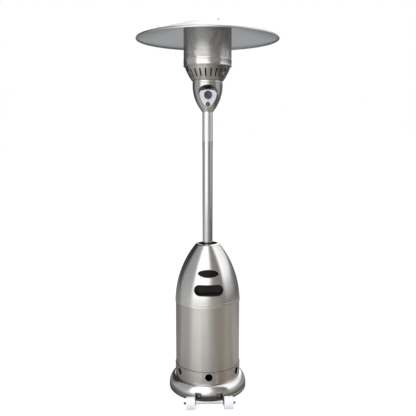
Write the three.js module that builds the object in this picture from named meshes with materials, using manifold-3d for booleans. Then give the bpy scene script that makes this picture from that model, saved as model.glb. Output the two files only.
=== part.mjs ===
// Outdoor gas heater of the mushroom kind: a domed base with a bottle housing, a post, and a
// burner head under a wide reflector.
// Millimetres, +Z up. The origin is the centre of the base on the floor, and the controls face -Y.

import * as THREE from 'three';
import { mergeVertices } from 'three/addons/utils/BufferGeometryUtils.js';
import Module from 'manifold-3d';

const wasm = await Module();
wasm.setup();

// ---------------------------------------------------------------- driving dimensions

const GAP = 0.3; // air between pieces that touch
const SHEET = 1; // thickness of the sheet metal
const BIG = 36; // facets round the base, the housing and the reflector
const MEDIUM = 24; // facets round the head
const SMALL = 12; // facets round rods, bolts and buttons

const base = { lipRadius: 238, lipTop: 42, topRadius: 201, top: 92, plateRadius: 233, plateThick: 2 };
const ballast = { inner: 90, outer: 205, top: 14 };
const band = { radius: 199.5, top: 168, holeRadius: 23, holeHeight: 138, holes: 6 };
const sleeve = { radius: 196.5, top: 563 };
const bullet = {
  radius: 198.2, bottom: 557, lipTop: 565, arcRadius: 554, curlStart: 903, top: 913, mouthRadius: 60, wall: 1,
};
const post = { radius: 31, wall: 2, bottom: 695, top: 1712, pipeHole: 12 };
const flange = { radius: 76, bottom: 688.6, thick: 6, hubTop: 742, hubRadius: 36 };
const leg = { radius: 9.5, ring: 175, straightTop: 540, topRing: 60, count: 3, firstAngle: 90 };
const foot = { inner: 146, outer: 190, halfWidth: 15, thick: 4, boltRing: 157 };
const bolt = { radius: 3, holeRadius: 3.4, headRadius: 5.6, headTall: 4 };
const label = { bottom: 1530, top: 1698, spread: 150, thick: 0.6 };
const gas = { pipe: 5, outlet: 4, pilot: 2.5, probe: 2, inletBottom: 655, inletTall: 16 };
const valve = { bottom: 1780, top: 1814.5, halfWidth: 17, front: -44, back: -12, middle: -28, noseRadius: 9 };

const bowl = { radius: 88.6, arcRadius: 240, arcTop: 1856, bottom: 1707, top: 1866, wall: 2 };
const panel = { front: -50.5, thick: 2.5, top: 1828, bottom: 1727, shoulder: 1806, halfWidth: 51.5 };
const knob = { height: 1797, radius: 23, depth: 19, back: -55 };
const stem = { radius: 3.2, inner: 39, tip: 68, boreRadius: 3.8 };
const igniter = { height: 1744, radius: 12.5 };
const collar = { bottom: 1866.3, top: 1881, radius: 89.2 };
const cone = { bottom: 1881.3, top: 1961, bottomRadius: 93.5, topRadius: 134.5, mouth: 72, bow: 0.356 };
const slot = { count: 24, width: 6.5, bottom: 1898, top: 1942 };
const emitter = { radius: 140.5, ringTop: 1998, top: 2196, ringRadius: 142, ledge: 124, capTop: 2202 };
const burner = { tubeRadius: 13, tubeBottom: 1884, tubeTop: 1968, dishRadius: 62, dishTop: 1991 };
const dome = { top: 2206, flatRadius: 134, rimRadius: 414, rimTop: 2126, hem: 10, bead: 3 };
const stud = { ring: 128, radius: 3, count: 3, firstAngle: -63 };
const rimScrew = {
  ring: 400, radius: 2, holeRadius: 2.4, headRadius: 6.5, headTall: 7, gap: 0.6, nutRadius: 4, nutTall: 3,
  count: 3, firstAngle: 108,
};

const wheel = { radius: 36, width: 51, x: 110, y: -315, z: 38, boreRadius: 4.7 };
const axle = { radius: 4.2, halfLength: 141 };
const bracket = {
  x: 80, thick: 3, low: 20, high: 56, rootY: -205, shoulderY: -290, eyeRadius: 15,
  footInner: 48, footFront: -241, boltX: 60, height: 38,
};

const badge = { height: 758, halfWidth: 63.5, halfHeight: 21.5, border: 4 };
const grip = { height: 663.5, halfWidth: 86.5, halfHeight: 32.5, wall: 2, lip: 5, back: -150 };

// ---------------------------------------------------------------- materials

const metal = (color, roughness) => new THREE.MeshStandardMaterial({ color, roughness, metalness: 1 });
const plain = (color, roughness) => new THREE.MeshStandardMaterial({ color, roughness, metalness: 0 });

const brushed = metal(0xb8b4ad, 0.35);
const polished = metal(0xd2d2d0, 0.2);
const panelSilver = metal(0xb9b8c4, 0.45);
const spunAluminium = metal(0xc4c6c8, 0.3);
const darkSteel = metal(0x4b4d50, 0.5);
const castIron = metal(0x2e2e30, 0.8);
const brass = metal(0xb08d4a, 0.35);
const blackPlastic = plain(0x18181a, 0.5);
const knobPlastic = plain(0x2b2e3c, 0.45);
const palePlastic = plain(0xdcdcd8, 0.5);
const labelWhite = plain(0xd9d9d9, 0.6);
const ceramic = plain(0xe8e4da, 0.4);

// ---------------------------------------------------------------- shape helpers

const radians = THREE.MathUtils.degToRad;
const heater = new THREE.Group();

function piece(name, geometry, material) {
  const mesh = new THREE.Mesh(geometry, material);
  mesh.name = name;
  heater.add(mesh);
  return mesh;
}

// Joins shared corners and drops triangles that have shrunk to a line, as at a pole.
function welded(geometry) {
  const bare = geometry.clone();
  bare.deleteAttribute('normal');
  bare.deleteAttribute('uv');
  const merged = mergeVertices(bare, 1e-4);
  const old = merged.getIndex().array;
  const kept = [];
  for (let i = 0; i < old.length; i += 3) {
    const [a, b, c] = [old[i], old[i + 1], old[i + 2]];
    if (a !== b && b !== c && c !== a) kept.push(a, b, c);
  }
  merged.setIndex(kept);
  return merged;
}

// Turns the faces of a closed shape outwards, which its signed volume tells.
function outward(geometry) {
  const shape = welded(geometry);
  const position = shape.getAttribute('position');
  const index = shape.getIndex();
  const corner = (i) => new THREE.Vector3().fromBufferAttribute(position, index.getX(i));
  let volume = 0;
  for (let i = 0; i < index.count; i += 3) {
    volume += corner(i).dot(corner(i + 1).cross(corner(i + 2)));
  }
  if (volume < 0) {
    const flipped = [];
    for (let i = 0; i < index.count; i += 3) {
      flipped.push(index.getX(i), index.getX(i + 2), index.getX(i + 1));
    }
    shape.setIndex(flipped);
  }
  return shape;
}

function solid(geometry) {
  const shape = outward(geometry);
  return new wasm.Manifold(new wasm.Mesh({
    numProp: 3,
    vertProperties: new Float32Array(shape.getAttribute('position').array),
    triVerts: new Uint32Array(shape.getIndex().array),
  }));
}

function fromSolid(body) {
  const mesh = body.getMesh();
  const geometry = new THREE.BufferGeometry();
  geometry.setAttribute('position', new THREE.BufferAttribute(mesh.vertProperties, 3));
  geometry.setIndex(new THREE.BufferAttribute(mesh.triVerts, 1));
  return geometry;
}

const common = (geometry, other) => fromSolid(solid(geometry).intersect(solid(other)));

function cut(geometry, ...tools) {
  return fromSolid(tools.reduce((body, tool) => body.subtract(solid(tool)), solid(geometry)));
}

function join(geometry, ...others) {
  return fromSolid(others.reduce((body, other) => body.add(solid(other)), solid(geometry)));
}

// A profile of [radius, height] points turned about the Z axis.
function turned(profile, facets = MEDIUM) {
  const points = profile.map(([r, z]) => new THREE.Vector2(r, z));
  return outward(new THREE.LatheGeometry(points, facets).rotateX(Math.PI / 2));
}

const closed = (profile) => [...profile, profile[0]];
const ring = (inner, outer, low, high, facets) => turned(
  closed([[inner, low], [outer, low], [outer, high], [inner, high]]), facets);
const rod = (radius, low, high, facets = SMALL) => turned(
  [[0, low], [radius, low], [radius, high], [0, high]], facets);

function steps(count, make) {
  return Array.from({ length: count + 1 }, (_, i) => make(i / count));
}

// A flat outline in X and Z pushed along Y from one depth to another.
function pushed(shape, fromY, toY, curveSegments = 6) {
  const depth = Math.abs(toY - fromY);
  const geometry = new THREE.ExtrudeGeometry(shape, { depth, bevelEnabled: false, curveSegments });
  return geometry.rotateX(Math.PI / 2).translate(0, Math.max(fromY, toY), 0);
}

function block(x0, x1, y0, y1, z0, z1) {
  const geometry = new THREE.BoxGeometry(x1 - x0, y1 - y0, z1 - z0);
  return geometry.translate((x0 + x1) / 2, (y0 + y1) / 2, (z0 + z1) / 2);
}

// A round bar along a curve.
function bar(curve, radius, stepCount, sides = 8) {
  const section = new THREE.Shape(steps(sides - 1, (t) => {
    const angle = t * (sides - 1) / sides * 2 * Math.PI;
    return new THREE.Vector2(radius * Math.cos(angle), radius * Math.sin(angle));
  }));
  const options = { steps: stepCount, extrudePath: curve, bevelEnabled: false };
  return outward(new THREE.ExtrudeGeometry(section, options));
}

const at = (x, y, z) => new THREE.Vector3(x, y, z);
const smooth = (...points) => new THREE.CatmullRomCurve3(points.map((p) => at(...p)));

// A closed body between two outlines with the same number of points, at two depths along Y.
function loft(front, frontY, back, backY) {
  const count = front.length;
  const corners = [];
  for (const p of front) corners.push(p.x, frontY, p.y);
  for (const p of back) corners.push(p.x, backY, p.y);
  const faces = [];
  for (const [a, b, c] of THREE.ShapeUtils.triangulateShape(front, [])) faces.push(a, b, c);
  for (const [a, b, c] of THREE.ShapeUtils.triangulateShape(back, [])) {
    faces.push(count + a, count + c, count + b);
  }
  for (let i = 0; i < count; i++) {
    const j = (i + 1) % count;
    faces.push(i, count + i, j, j, count + i, count + j);
  }
  const geometry = new THREE.BufferGeometry();
  geometry.setAttribute('position', new THREE.Float32BufferAttribute(corners, 3));
  geometry.setIndex(faces);
  return outward(geometry);
}

function stadium(halfWidth, halfHeight, middle) {
  const straight = halfWidth - halfHeight;
  const shape = new THREE.Shape();
  shape.absarc(straight, middle, halfHeight, -Math.PI / 2, Math.PI / 2, false);
  shape.absarc(-straight, middle, halfHeight, Math.PI / 2, Math.PI * 1.5, false);
  return shape;
}

function oval(halfWidth, halfHeight, middle) {
  const shape = new THREE.Shape();
  shape.absellipse(0, middle, halfWidth, halfHeight, 0, 2 * Math.PI, false);
  return shape;
}

// Turns a shape made on the +Z axis to point along -Y, or along X.
const facingFront = (geometry) => geometry.clone().rotateX(Math.PI / 2);
const alongX = (geometry) => geometry.clone().rotateY(Math.PI / 2);

// ---------------------------------------------------------------- base

function skirtOutline(inset, count) {
  const curve = steps(count, (t) => {
    const angle = t * Math.PI / 2;
    const across = base.lipRadius - base.topRadius;
    const up = base.top - base.lipTop;
    return [base.topRadius + across * Math.cos(angle) - inset, base.lipTop + up * Math.sin(angle) - inset];
  });
  return [[base.lipRadius - inset, 0], ...curve];
}

function ringSpots(count, firstAngle) {
  return Array.from({ length: count }, (_, i) => radians(firstAngle + i * 360 / count));
}

const legAngles = ringSpots(leg.count, leg.firstAngle);

function makeBase() {
  const outer = skirtOutline(0, 5);
  const inner = skirtOutline(SHEET, 3);
  const boltHoles = legAngles.map((angle) => rod(bolt.holeRadius, base.top - 10, base.top + 10)
    .translate(foot.boltRing, 0, 0).rotateZ(angle));
  const lipHoles = [-1, 1].map((side) => facingFront(rod(bolt.holeRadius, 200, 260))
    .translate(side * bracket.boltX, 0, bracket.height));
  const shell = turned([[0, base.top], ...outer.slice().reverse(), ...inner, [0, base.top - SHEET]], BIG);
  piece('base_skirt', cut(shell, ...boltHoles, ...lipHoles), polished);
  piece('base_plate', rod(base.plateRadius, 0, base.plateThick, BIG), darkSteel);
  const ballastLow = base.plateThick + GAP;
  piece('ballast_ring', ring(ballast.inner, ballast.outer, ballastLow, ballast.top, MEDIUM), castIron);

  const bead = band.radius + 1.2;
  const bandWall = turned(closed([
    [band.radius - SHEET, base.top + GAP], [band.radius, base.top + GAP], [band.radius, band.top - 5],
    [bead, band.top - 4], [bead, band.top], [band.radius - SHEET, band.top],
  ]), BIG);
  const ventHoles = ringSpots(band.holes, 0).map((angle) => facingFront(rod(band.holeRadius, 150, 230))
    .translate(0, 0, band.holeHeight).rotateZ(angle));
  piece('vent_band', cut(bandWall, ...ventHoles), brushed);
}

// ---------------------------------------------------------------- legs and post

function makeLegs() {
  const footTop = base.top + GAP + foot.thick;
  const legTop = flange.bottom - GAP;
  legAngles.forEach((angle, i) => {
    const bend = new THREE.CubicBezierCurve3(at(leg.ring, 0, leg.straightTop - 1), at(leg.ring, 0, 640),
      at(leg.topRing, 0, 600), at(leg.topRing, 0, legTop));
    const straight = rod(leg.radius, footTop - 1, leg.straightTop, 8).translate(leg.ring, 0, 0);
    const footPlate = block(foot.inner, foot.outer, -foot.halfWidth, foot.halfWidth, base.top + GAP, footTop);
    const hole = rod(bolt.holeRadius, base.top, footTop + 9).translate(foot.boltRing, 0, 0);
    const whole = cut(join(straight, bar(bend, leg.radius, 7), footPlate), hole);
    piece(`support_leg_${i + 1}`, whole.rotateZ(angle), darkSteel);

    const head = rod(bolt.headRadius, footTop + GAP, footTop + GAP + bolt.headTall, 6);
    const shank = rod(bolt.radius, base.top - 8, footTop + 2);
    piece(`leg_bolt_${i + 1}`, join(head, shank).translate(foot.boltRing, 0, 0).rotateZ(angle), polished);
  });
}

function makePost() {
  const flangeTop = flange.bottom + flange.thick;
  piece('post_flange', turned(closed([
    [post.pipeHole, flange.bottom], [flange.radius, flange.bottom], [flange.radius, flangeTop],
    [flange.hubRadius, flangeTop], [flange.hubRadius, flange.hubTop],
    [post.radius + 0.4, flange.hubTop], [post.radius + 0.4, flangeTop], [post.pipeHole, flangeTop],
  ])), darkSteel);
  piece('main_post', ring(post.radius - post.wall, post.radius, post.bottom, post.top, MEDIUM), brushed);

  const inside = post.radius + GAP;
  const wrap = ring(inside, inside + label.thick, label.bottom, label.top, MEDIUM);
  const reach = 60;
  const half = radians(label.spread / 2);
  const edgeX = reach * Math.sin(half);
  const edgeY = -reach * Math.cos(half);
  const wedge = new THREE.Shape([[0, 0], [-edgeX, edgeY], [-edgeX, -reach], [edgeX, -reach], [edgeX, edgeY]]
    .map(([x, y]) => new THREE.Vector2(x, y)));
  const sector = new THREE.ExtrudeGeometry(wedge, { depth: 300, bevelEnabled: false })
    .translate(0, 0, label.bottom - 50);
  piece('blank_label', common(wrap, sector), labelWhite);
}

// ---------------------------------------------------------------- gas line

function makeGasLine() {
  const inletTop = gas.inletBottom + gas.inletTall;
  const nut = rod(9, gas.inletBottom, inletTop, 6);
  const spigot = rod(6.5, gas.inletBottom - 14, gas.inletBottom + 1);
  piece('inlet_fitting', join(nut, spigot), brass);

  const riserTop = 1730;
  const riser = rod(gas.pipe, inletTop + GAP, riserTop, 8);
  const toValve = new THREE.CubicBezierCurve3(at(0, 0, riserTop - 1), at(0, 0, riserTop + 35),
    at(0, valve.middle, riserTop + 26), at(0, valve.middle, valve.bottom - GAP));
  piece('feed_pipe', join(riser, bar(toValve, gas.pipe, 6)), brass);

  const outletBottom = valve.top + GAP;
  const toBurner = new THREE.CubicBezierCurve3(
    at(0, valve.middle, outletBottom), at(0, valve.middle, outletBottom + 35),
    at(0, 0, burner.tubeBottom - 36), at(0, 0, burner.tubeBottom - 1));
  piece('outlet_pipe', bar(toBurner, gas.outlet, 6), brass);

  const body = block(-valve.halfWidth, valve.halfWidth, valve.front, valve.back, valve.bottom, valve.top);
  const nose = facingFront(rod(valve.noseRadius, -valve.front - 4, -valve.front + 6))
    .translate(0, 0, knob.height);
  const bore = facingFront(rod(stem.boreRadius, stem.inner - 5, 60)).translate(0, 0, knob.height);
  piece('gas_valve', cut(join(body, nose), bore), brass);
}

// ---------------------------------------------------------------- control housing and its controls

function bowlOutline(inset, count) {
  const rise = bowl.arcTop - bowl.bottom;
  return steps(count, (t) => {
    const z = bowl.bottom + rise * t;
    const drop = bowl.arcRadius - Math.sqrt(bowl.arcRadius ** 2 - (bowl.arcTop - z) ** 2);
    return [bowl.radius - drop - inset, z];
  });
}

// The shield outline of the panel, widened by spread and with its top moved up.
function shieldOutline(spread, topRaise, bottomDrop) {
  const half = panel.halfWidth + spread;
  const top = panel.top + topRaise;
  const bottom = panel.bottom - bottomDrop;
  const shoulder = panel.shoulder + topRaise * 0.6;
  const shape = new THREE.Shape();
  shape.moveTo(0, top);
  shape.bezierCurveTo(-36, top, -half, top - 6, -half, shoulder);
  shape.bezierCurveTo(-half, shoulder - 38, -20, bottom, 0, bottom);
  shape.bezierCurveTo(20, bottom, half, shoulder - 38, half, shoulder);
  shape.bezierCurveTo(half, top - 6, 36, top, 0, top);
  return shape;
}

const shieldPoints = (...sizes) => shieldOutline(...sizes).getPoints(4).slice(0, -1);

function makeControlHousing() {
  const rim = 6;
  const neck = post.radius + 0.5;
  const shell = turned(closed([
    [neck, bowl.bottom - 5], [neck + 3.5, bowl.bottom - 4], ...bowlOutline(0, 6), [bowl.radius, bowl.top],
    [bowl.radius - rim, bowl.top], [bowl.radius - rim, bowl.top - bowl.wall],
    [bowl.radius - bowl.wall, bowl.top - bowl.wall], ...bowlOutline(bowl.wall, 4).reverse().slice(0, -1),
    [neck + 2.5, bowl.bottom + 5], [neck, bowl.bottom + 5],
  ]));
  const hair = 0.02;
  const filledTop = bowl.top - 0.5;
  const filled = turned([
    [0, bowl.bottom], ...bowlOutline(hair, 6), [bowl.radius - hair, filledTop], [0, filledTop],
  ]);
  const backY = panel.front + panel.thick + 1;
  const pocket = loft(shieldPoints(7, 31, 4), -100, shieldPoints(0.5, 0.5, 0.5), backY);
  const pocketWall = loft(shieldPoints(9, 33, 6), -100, shieldPoints(2.5, 2.5, 2.5), backY - 0.5);
  const walls = common(cut(pocketWall, pocket), filled);
  piece('control_housing', join(cut(shell, pocket), walls), brushed);

  const plate = pushed(shieldOutline(0, 0, 0), panel.front, panel.front + panel.thick, 4);
  const stemHole = facingFront(rod(10, 40, 60)).translate(0, 0, knob.height);
  const igniterHole = facingFront(rod(9.7, 40, 60)).translate(0, 0, igniter.height);
  piece('control_panel', cut(plate, stemHole, igniterHole), panelSilver);
}

function makeControls() {
  const front = -panel.front;
  const spindle = facingFront(rod(stem.radius, stem.inner, stem.tip, 10));
  piece('valve_stem', spindle.translate(0, 0, knob.height), brass);

  const back = -knob.back;
  const tip = back + knob.depth;
  const bore = stem.radius + 0.4;
  const cap = turned(closed([
    [bore, back], [knob.radius - 1, back], [knob.radius, back + 2], [knob.radius - 1.5, tip - 3],
    [knob.radius - 4, tip], [0, tip], [0, stem.tip + GAP], [bore, stem.tip + GAP],
  ]));
  const pointer = block(-3.5, 3.5, -knob.radius - 1, -6, tip - 4, tip + 3);
  piece('knob', facingFront(join(cap, pointer)).translate(0, 0, knob.height), knobPlastic);

  const bodyFront = front + 5;
  const bodyBack = front - 23;
  const atIgniter = (profile) => facingFront(turned(profile, 16)).translate(0, 0, igniter.height);
  piece('igniter_body', atIgniter([
    [0, bodyBack], [9, bodyBack], [9, front + GAP], [10.5, front + GAP], [10.5, front + 1.8],
    [9, front + 1.8], [9, bodyFront], [6.2, bodyFront], [6.2, front - 12], [0, front - 12],
  ]), blackPlastic);
  piece('igniter_bezel', atIgniter(closed([
    [9.3, front + 2.1], [igniter.radius, front + 2.1], [igniter.radius, front + 5],
    [igniter.radius - 2, front + 8], [9.3, front + 8],
  ])), blackPlastic);
  piece('igniter_button', atIgniter([
    [0, front - 7], [4.5, front - 7], [4.5, front + 1], [5.8, front + 1], [5.8, front + 10],
    [4.4, front + 11.5], [0, front + 12],
  ]), polished);

  piece('tilt_switch', join(rod(12, 1775, 1803), rod(4, 1802, 1812)).translate(0, 44, 0), blackPlastic);
}

// ---------------------------------------------------------------- burner head

const studSpots = ringSpots(stud.count, stud.firstAngle)
  .map((angle) => [stud.ring * Math.cos(angle), stud.ring * Math.sin(angle)]);
const studHoles = () => studSpots.map(([x, y]) => rod(stud.radius + 0.4, 2180, 2220).translate(x, y, 0));

function coneRadius(t) {
  return cone.bottomRadius + (cone.topRadius - cone.bottomRadius) * (t + cone.bow * t * (1 - t));
}

function makeBurner() {
  piece('collar_ring', ring(collar.radius - 3, collar.radius, collar.bottom, collar.top, MEDIUM), polished);

  const outer = steps(3, (t) => [coneRadius(t), cone.bottom + (cone.top - cone.bottom) * t]);
  const inner = outer.map(([r, z]) => [r - SHEET * 1.2, z]).reverse();
  inner[inner.length - 1][1] += SHEET;
  const shell = turned(closed([
    [cone.mouth, cone.bottom], ...outer, ...inner, [cone.mouth, cone.bottom + SHEET],
  ]), slot.count);
  const half = slot.width / 2;
  const slots = ringSpots(slot.count, 180 / slot.count)
    .map((angle) => block(90, 150, -half, half, slot.bottom, slot.top).rotateZ(angle));
  piece('vent_cone', cut(shell, ...slots), brushed);

  const { tubeRadius, tubeBottom, tubeTop, dishRadius, dishTop } = burner;
  piece('burner_tube', ring(tubeRadius - 4, tubeRadius, tubeBottom, tubeTop, SMALL), darkSteel);
  piece('burner_dish', turned([
    [0, tubeTop + GAP], [22, tubeTop + GAP], [dishRadius - 2, tubeTop + 10], [dishRadius, dishTop - 1],
    [dishRadius - 4, dishTop], [40, dishTop - 5], [0, dishTop - 3],
  ], 16), darkSteel);
  const fromValve = (side, tall) => smooth([side * 12, valve.middle, valve.top + 0.5], [side * 16, -30, 1840],
    [side * 30, -34, 1880], [side * 52, -44, 1930], [side * 58, -46, tall]);
  piece('pilot_tube', bar(fromValve(1, 1988), gas.pilot, 7, 6), polished);
  piece('thermocouple', bar(fromValve(-1, 1992), gas.probe, 7, 6), polished);
  const electrode = join(rod(3.5, 1950, 1978, 8), rod(1.2, 1970, 1996, 6));
  piece('spark_electrode', electrode.translate(0, -70, 0), ceramic);

  const ledgeLow = cone.top + GAP;
  const ringInner = emitter.ringRadius - SHEET;
  piece('emitter_base_ring', turned(closed([
    [emitter.ledge, ledgeLow], [emitter.ringRadius, ledgeLow], [emitter.ringRadius, emitter.ringTop],
    [ringInner, emitter.ringTop], [ringInner, ledgeLow + SHEET], [emitter.ledge, ledgeLow + SHEET],
  ])), brushed);

  const inside = emitter.radius - SHEET;
  piece('emitter_screen', ring(inside, emitter.radius, emitter.ringTop + GAP, emitter.top, MEDIUM), brushed);
  const skirtLow = emitter.top + GAP;
  const cap = turned([
    [0, emitter.capTop], [emitter.radius, emitter.capTop], [emitter.radius, skirtLow], [inside, skirtLow],
    [inside, emitter.capTop - 2], [0, emitter.capTop - 2],
  ]);
  piece('emitter_cap', cut(cap, ...studHoles()), brushed);
}

// ---------------------------------------------------------------- reflector

// The rim screws stand square to the sloping sheet. placed copies a shape made upright at the origin
// to each of them, and drop is how far a facet lies below the round sheet there.
function rimScrewPlaces() {
  const run = dome.rimRadius - 4 - dome.flatRadius;
  const fall = dome.top - dome.rimTop;
  const height = dome.top - fall * (rimScrew.ring - dome.flatRadius) / run;
  const drop = rimScrew.ring * (1 - Math.cos(Math.PI / BIG)) * fall / run;
  const placed = (shape) => ringSpots(rimScrew.count, rimScrew.firstAngle).map((angle) => shape.clone()
    .rotateY(Math.atan2(fall, run)).translate(rimScrew.ring, 0, height).rotateZ(angle));
  return { drop, placed };
}

function makeRimScrews(placed, drop) {
  const { radius, headRadius, headTall, gap, nutRadius, nutTall } = rimScrew;
  const nutTop = -SHEET - drop - gap;
  const crown = steps(3, (t) => {
    const angle = t * Math.PI / 2;
    return [headRadius * Math.cos(angle), gap + 2 + (headTall - 2) * Math.sin(angle)];
  });
  const head = turned([[0, gap], [headRadius, gap], ...crown], 10);
  const shank = rod(radius, nutTop - nutTall - 2, gap + 1, 8);
  const nut = rod(nutRadius, nutTop - nutTall, nutTop, 6);
  placed(join(head, shank, nut)).forEach((screw, i) => piece(`rim_screw_${i + 1}`, screw, polished));
}

function makeReflector() {
  const rimLow = dome.rimTop - dome.hem;
  const bead = steps(4, (t) => {
    const angle = -Math.PI * t;
    return [dome.rimRadius + dome.bead * Math.cos(angle), rimLow + dome.bead * Math.sin(angle)];
  });
  const sheet = [
    [0, dome.top], [dome.flatRadius, dome.top], [dome.rimRadius - 4, dome.rimTop],
    [dome.rimRadius + 1, dome.rimTop - 3], ...bead, [dome.rimRadius - 1, dome.rimTop - 4],
    [dome.rimRadius - 5, dome.rimTop - SHEET], [dome.flatRadius, dome.top - SHEET], [0, dome.top - SHEET],
  ];
  const { drop, placed } = rimScrewPlaces();
  const screwHoles = placed(rod(rimScrew.holeRadius, -8, 8));
  piece('reflector', cut(turned(sheet, BIG), ...studHoles(), ...screwHoles), spunAluminium);
  makeRimScrews(placed, drop);

  const headTop = emitter.capTop - 2 - GAP;
  const nutBottom = dome.top + GAP;
  const nutBore = stud.radius + 0.4;
  const boreTop = dome.top + 8.6;
  studSpots.forEach(([x, y], i) => {
    const head = rod(bolt.headRadius, headTop - bolt.headTall, headTop, 6);
    const shank = rod(stud.radius, headTop - 1, dome.top + 8);
    piece(`reflector_bolt_${i + 1}`, join(head, shank).translate(x, y, 0), polished);
    const nut = turned(closed([
      [nutBore, nutBottom], [7, nutBottom], [7, dome.top + 6], [5.6, dome.top + 6.5], [4.2, dome.top + 11],
      [0, dome.top + 12.5], [0, boreTop], [nutBore, boreTop],
    ]), 8);
    piece(`reflector_nut_${i + 1}`, nut.translate(x, y, 0), polished);
  });
}

// ---------------------------------------------------------------- bottle housing

function bulletRadius(z) {
  const rise = Math.max(0, z - bullet.bottom);
  return bullet.radius - (bullet.arcRadius - Math.sqrt(bullet.arcRadius ** 2 - rise ** 2));
}

// A band of the bullet's surface between two heights, from one offset above it to another.
function bulletSkin(low, high, inner, outer, count) {
  const outline = steps(count, (t) => [bulletRadius(low + (high - low) * t), low + (high - low) * t]);
  return turned(closed([
    ...outline.map(([r, z]) => [r + outer, z]),
    ...outline.map(([r, z]) => [r + inner, z]).reverse(),
  ]), BIG);
}

function makeHousing() {
  piece('tank_sleeve', ring(sleeve.radius - SHEET, sleeve.radius, band.top + GAP, sleeve.top, BIG), brushed);

  const curlHeight = bullet.top - bullet.curlStart;
  const curlRadius = bulletRadius(bullet.curlStart);
  const side = (count) => steps(count, (t) => {
    const z = bullet.lipTop + (bullet.curlStart - bullet.lipTop) * t;
    return [bulletRadius(z), z];
  });
  const curl = steps(3, (t) => {
    const angle = t * Math.PI / 2;
    return [bullet.mouthRadius + (curlRadius - bullet.mouthRadius) * Math.cos(angle),
      bullet.curlStart + curlHeight * Math.sin(angle)];
  });
  const inside = side(4).map(([r, z]) => [r - bullet.wall, z]).reverse();
  const shell = turned(closed([
    [bullet.radius, bullet.bottom], [bullet.radius, bullet.lipTop], ...side(6).slice(1), ...curl.slice(1),
    [bullet.mouthRadius, bullet.top - 3], ...inside.slice(0, -1),
    [bullet.radius - bullet.wall, bullet.lipTop], [bullet.radius - bullet.wall, bullet.bottom],
  ]), BIG);
  const gripOutline = (inset) => stadium(grip.halfWidth - inset, grip.halfHeight - inset, grip.height);
  piece('bullet_cover', cut(shell, pushed(gripOutline(grip.lip - 0.5), -300, -100)), brushed);

  const low = grip.height - grip.halfHeight - 5;
  const high = grip.height + grip.halfHeight + 5;
  const frame = common(bulletSkin(low, high, GAP, 2, 3), pushed(gripOutline(0), -300, -100));
  const curvedSide = steps(3, (t) => [bulletRadius(low + (high - low) * t) + 1.8, low + (high - low) * t]);
  const underSkin = turned([[0, low], ...curvedSide, [0, high]], BIG);
  const pocket = common(pushed(gripOutline(grip.lip), -300, grip.back + grip.wall), underSkin);
  const hollow = pushed(gripOutline(grip.lip + grip.wall), -300, grip.back);
  piece('handle_cup', cut(join(frame, pocket), hollow), blackPlastic);

  const badgeSkin = (inner, outer) => bulletSkin(badge.height - 35, badge.height + 35, inner, outer, 3);
  const badgeOval = (inset, nearY, farY) => pushed(
    oval(badge.halfWidth - inset, badge.halfHeight - inset, badge.height), nearY, farY, 12);
  const rimBlank = common(badgeSkin(GAP, 2.8), badgeOval(0, -300, -50));
  piece('badge_rim', cut(rimBlank, badgeOval(badge.border, -310, -40)), polished);
  piece('badge_face', common(badgeSkin(GAP, 2), badgeOval(badge.border + GAP, -300, -50)), blackPlastic);
}

// ---------------------------------------------------------------- wheels

function makeWheels() {
  const half = wheel.width / 2;
  const tread = turned(closed([
    [wheel.boreRadius, -half], [wheel.radius - 3, -half], [wheel.radius, -half + 4],
    [wheel.radius, half - 4], [wheel.radius - 3, half], [wheel.boreRadius, half],
  ]), 20);
  for (const [sideName, side] of [['left', -1], ['right', 1]]) {
    const hub = piece(`wheel_${sideName}`, alongX(tread), palePlastic);
    hub.position.set(side * wheel.x, wheel.y, wheel.z);

    const { low, high, rootY, shoulderY } = bracket;
    const outline = new THREE.Shape();
    outline.moveTo(rootY, low);
    outline.lineTo(rootY, high);
    outline.lineTo(shoulderY, high);
    outline.absarc(wheel.y, wheel.z, bracket.eyeRadius, Math.PI / 2, -Math.PI / 2, false);
    outline.lineTo(shoulderY, low);
    const armOptions = { depth: bracket.thick, bevelEnabled: false, curveSegments: 4 };
    const arm = new THREE.ExtrudeGeometry(outline, armOptions).rotateX(Math.PI / 2).rotateZ(Math.PI / 2)
      .translate(side * bracket.x - bracket.thick / 2, 0, 0);
    const ends = [side * bracket.footInner, side * bracket.x].sort((a, b) => a - b);
    const saddle = block(...ends, bracket.footFront, rootY, low + 2, high - 2);
    const lip = rod(base.lipRadius + GAP, -10, 100, BIG);
    const boltHole = facingFront(rod(bolt.holeRadius, 200, 260))
      .translate(side * bracket.boltX, 0, bracket.height);
    const axleHole = alongX(rod(axle.radius + GAP, -200, 200)).translate(0, wheel.y, wheel.z);
    piece(`wheel_bracket_${sideName}`, cut(join(arm, saddle), lip, boltHole, axleHole), darkSteel);

    const headBack = -bracket.footFront + GAP;
    const head = rod(bolt.headRadius, headBack, headBack + bolt.headTall, 6);
    const shank = rod(bolt.radius, headBack - 15, headBack + 1);
    const screw = facingFront(join(head, shank)).translate(side * bracket.boltX, 0, bracket.height);
    piece(`bracket_bolt_${sideName}`, screw, polished);

    const nutBore = axle.radius + 0.7;
    const nutInner = wheel.x + half + 1;
    const nut = turned(closed([
      [nutBore, nutInner], [8, nutInner], [8, nutInner + 6.5], [5, nutInner + 11.5], [0, nutInner + 13],
      [0, axle.halfLength + GAP], [nutBore, axle.halfLength + GAP],
    ]), 8);
    const nutMesh = piece(`axle_nut_${sideName}`, alongX(nut), darkSteel);
    nutMesh.position.set(0, wheel.y, wheel.z);
    if (side < 0) nutMesh.rotation.z = Math.PI;
  }
  const rodAlong = alongX(rod(axle.radius, -axle.halfLength, axle.halfLength));
  piece('axle_rod', rodAlong.translate(0, wheel.y, wheel.z), polished);
}

makeBase();
makeLegs();
makePost();
makeGasLine();
makeControlHousing();
makeControls();
makeBurner();
makeReflector();
makeHousing();
makeWheels();

export default heater;
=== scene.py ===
"""Outdoor gas heater: the finished surfaces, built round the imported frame.

Shape helpers take millimetres, and angles in degrees from the front (-Y) towards +X. Meshes are in metres.
"""

import math

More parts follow.
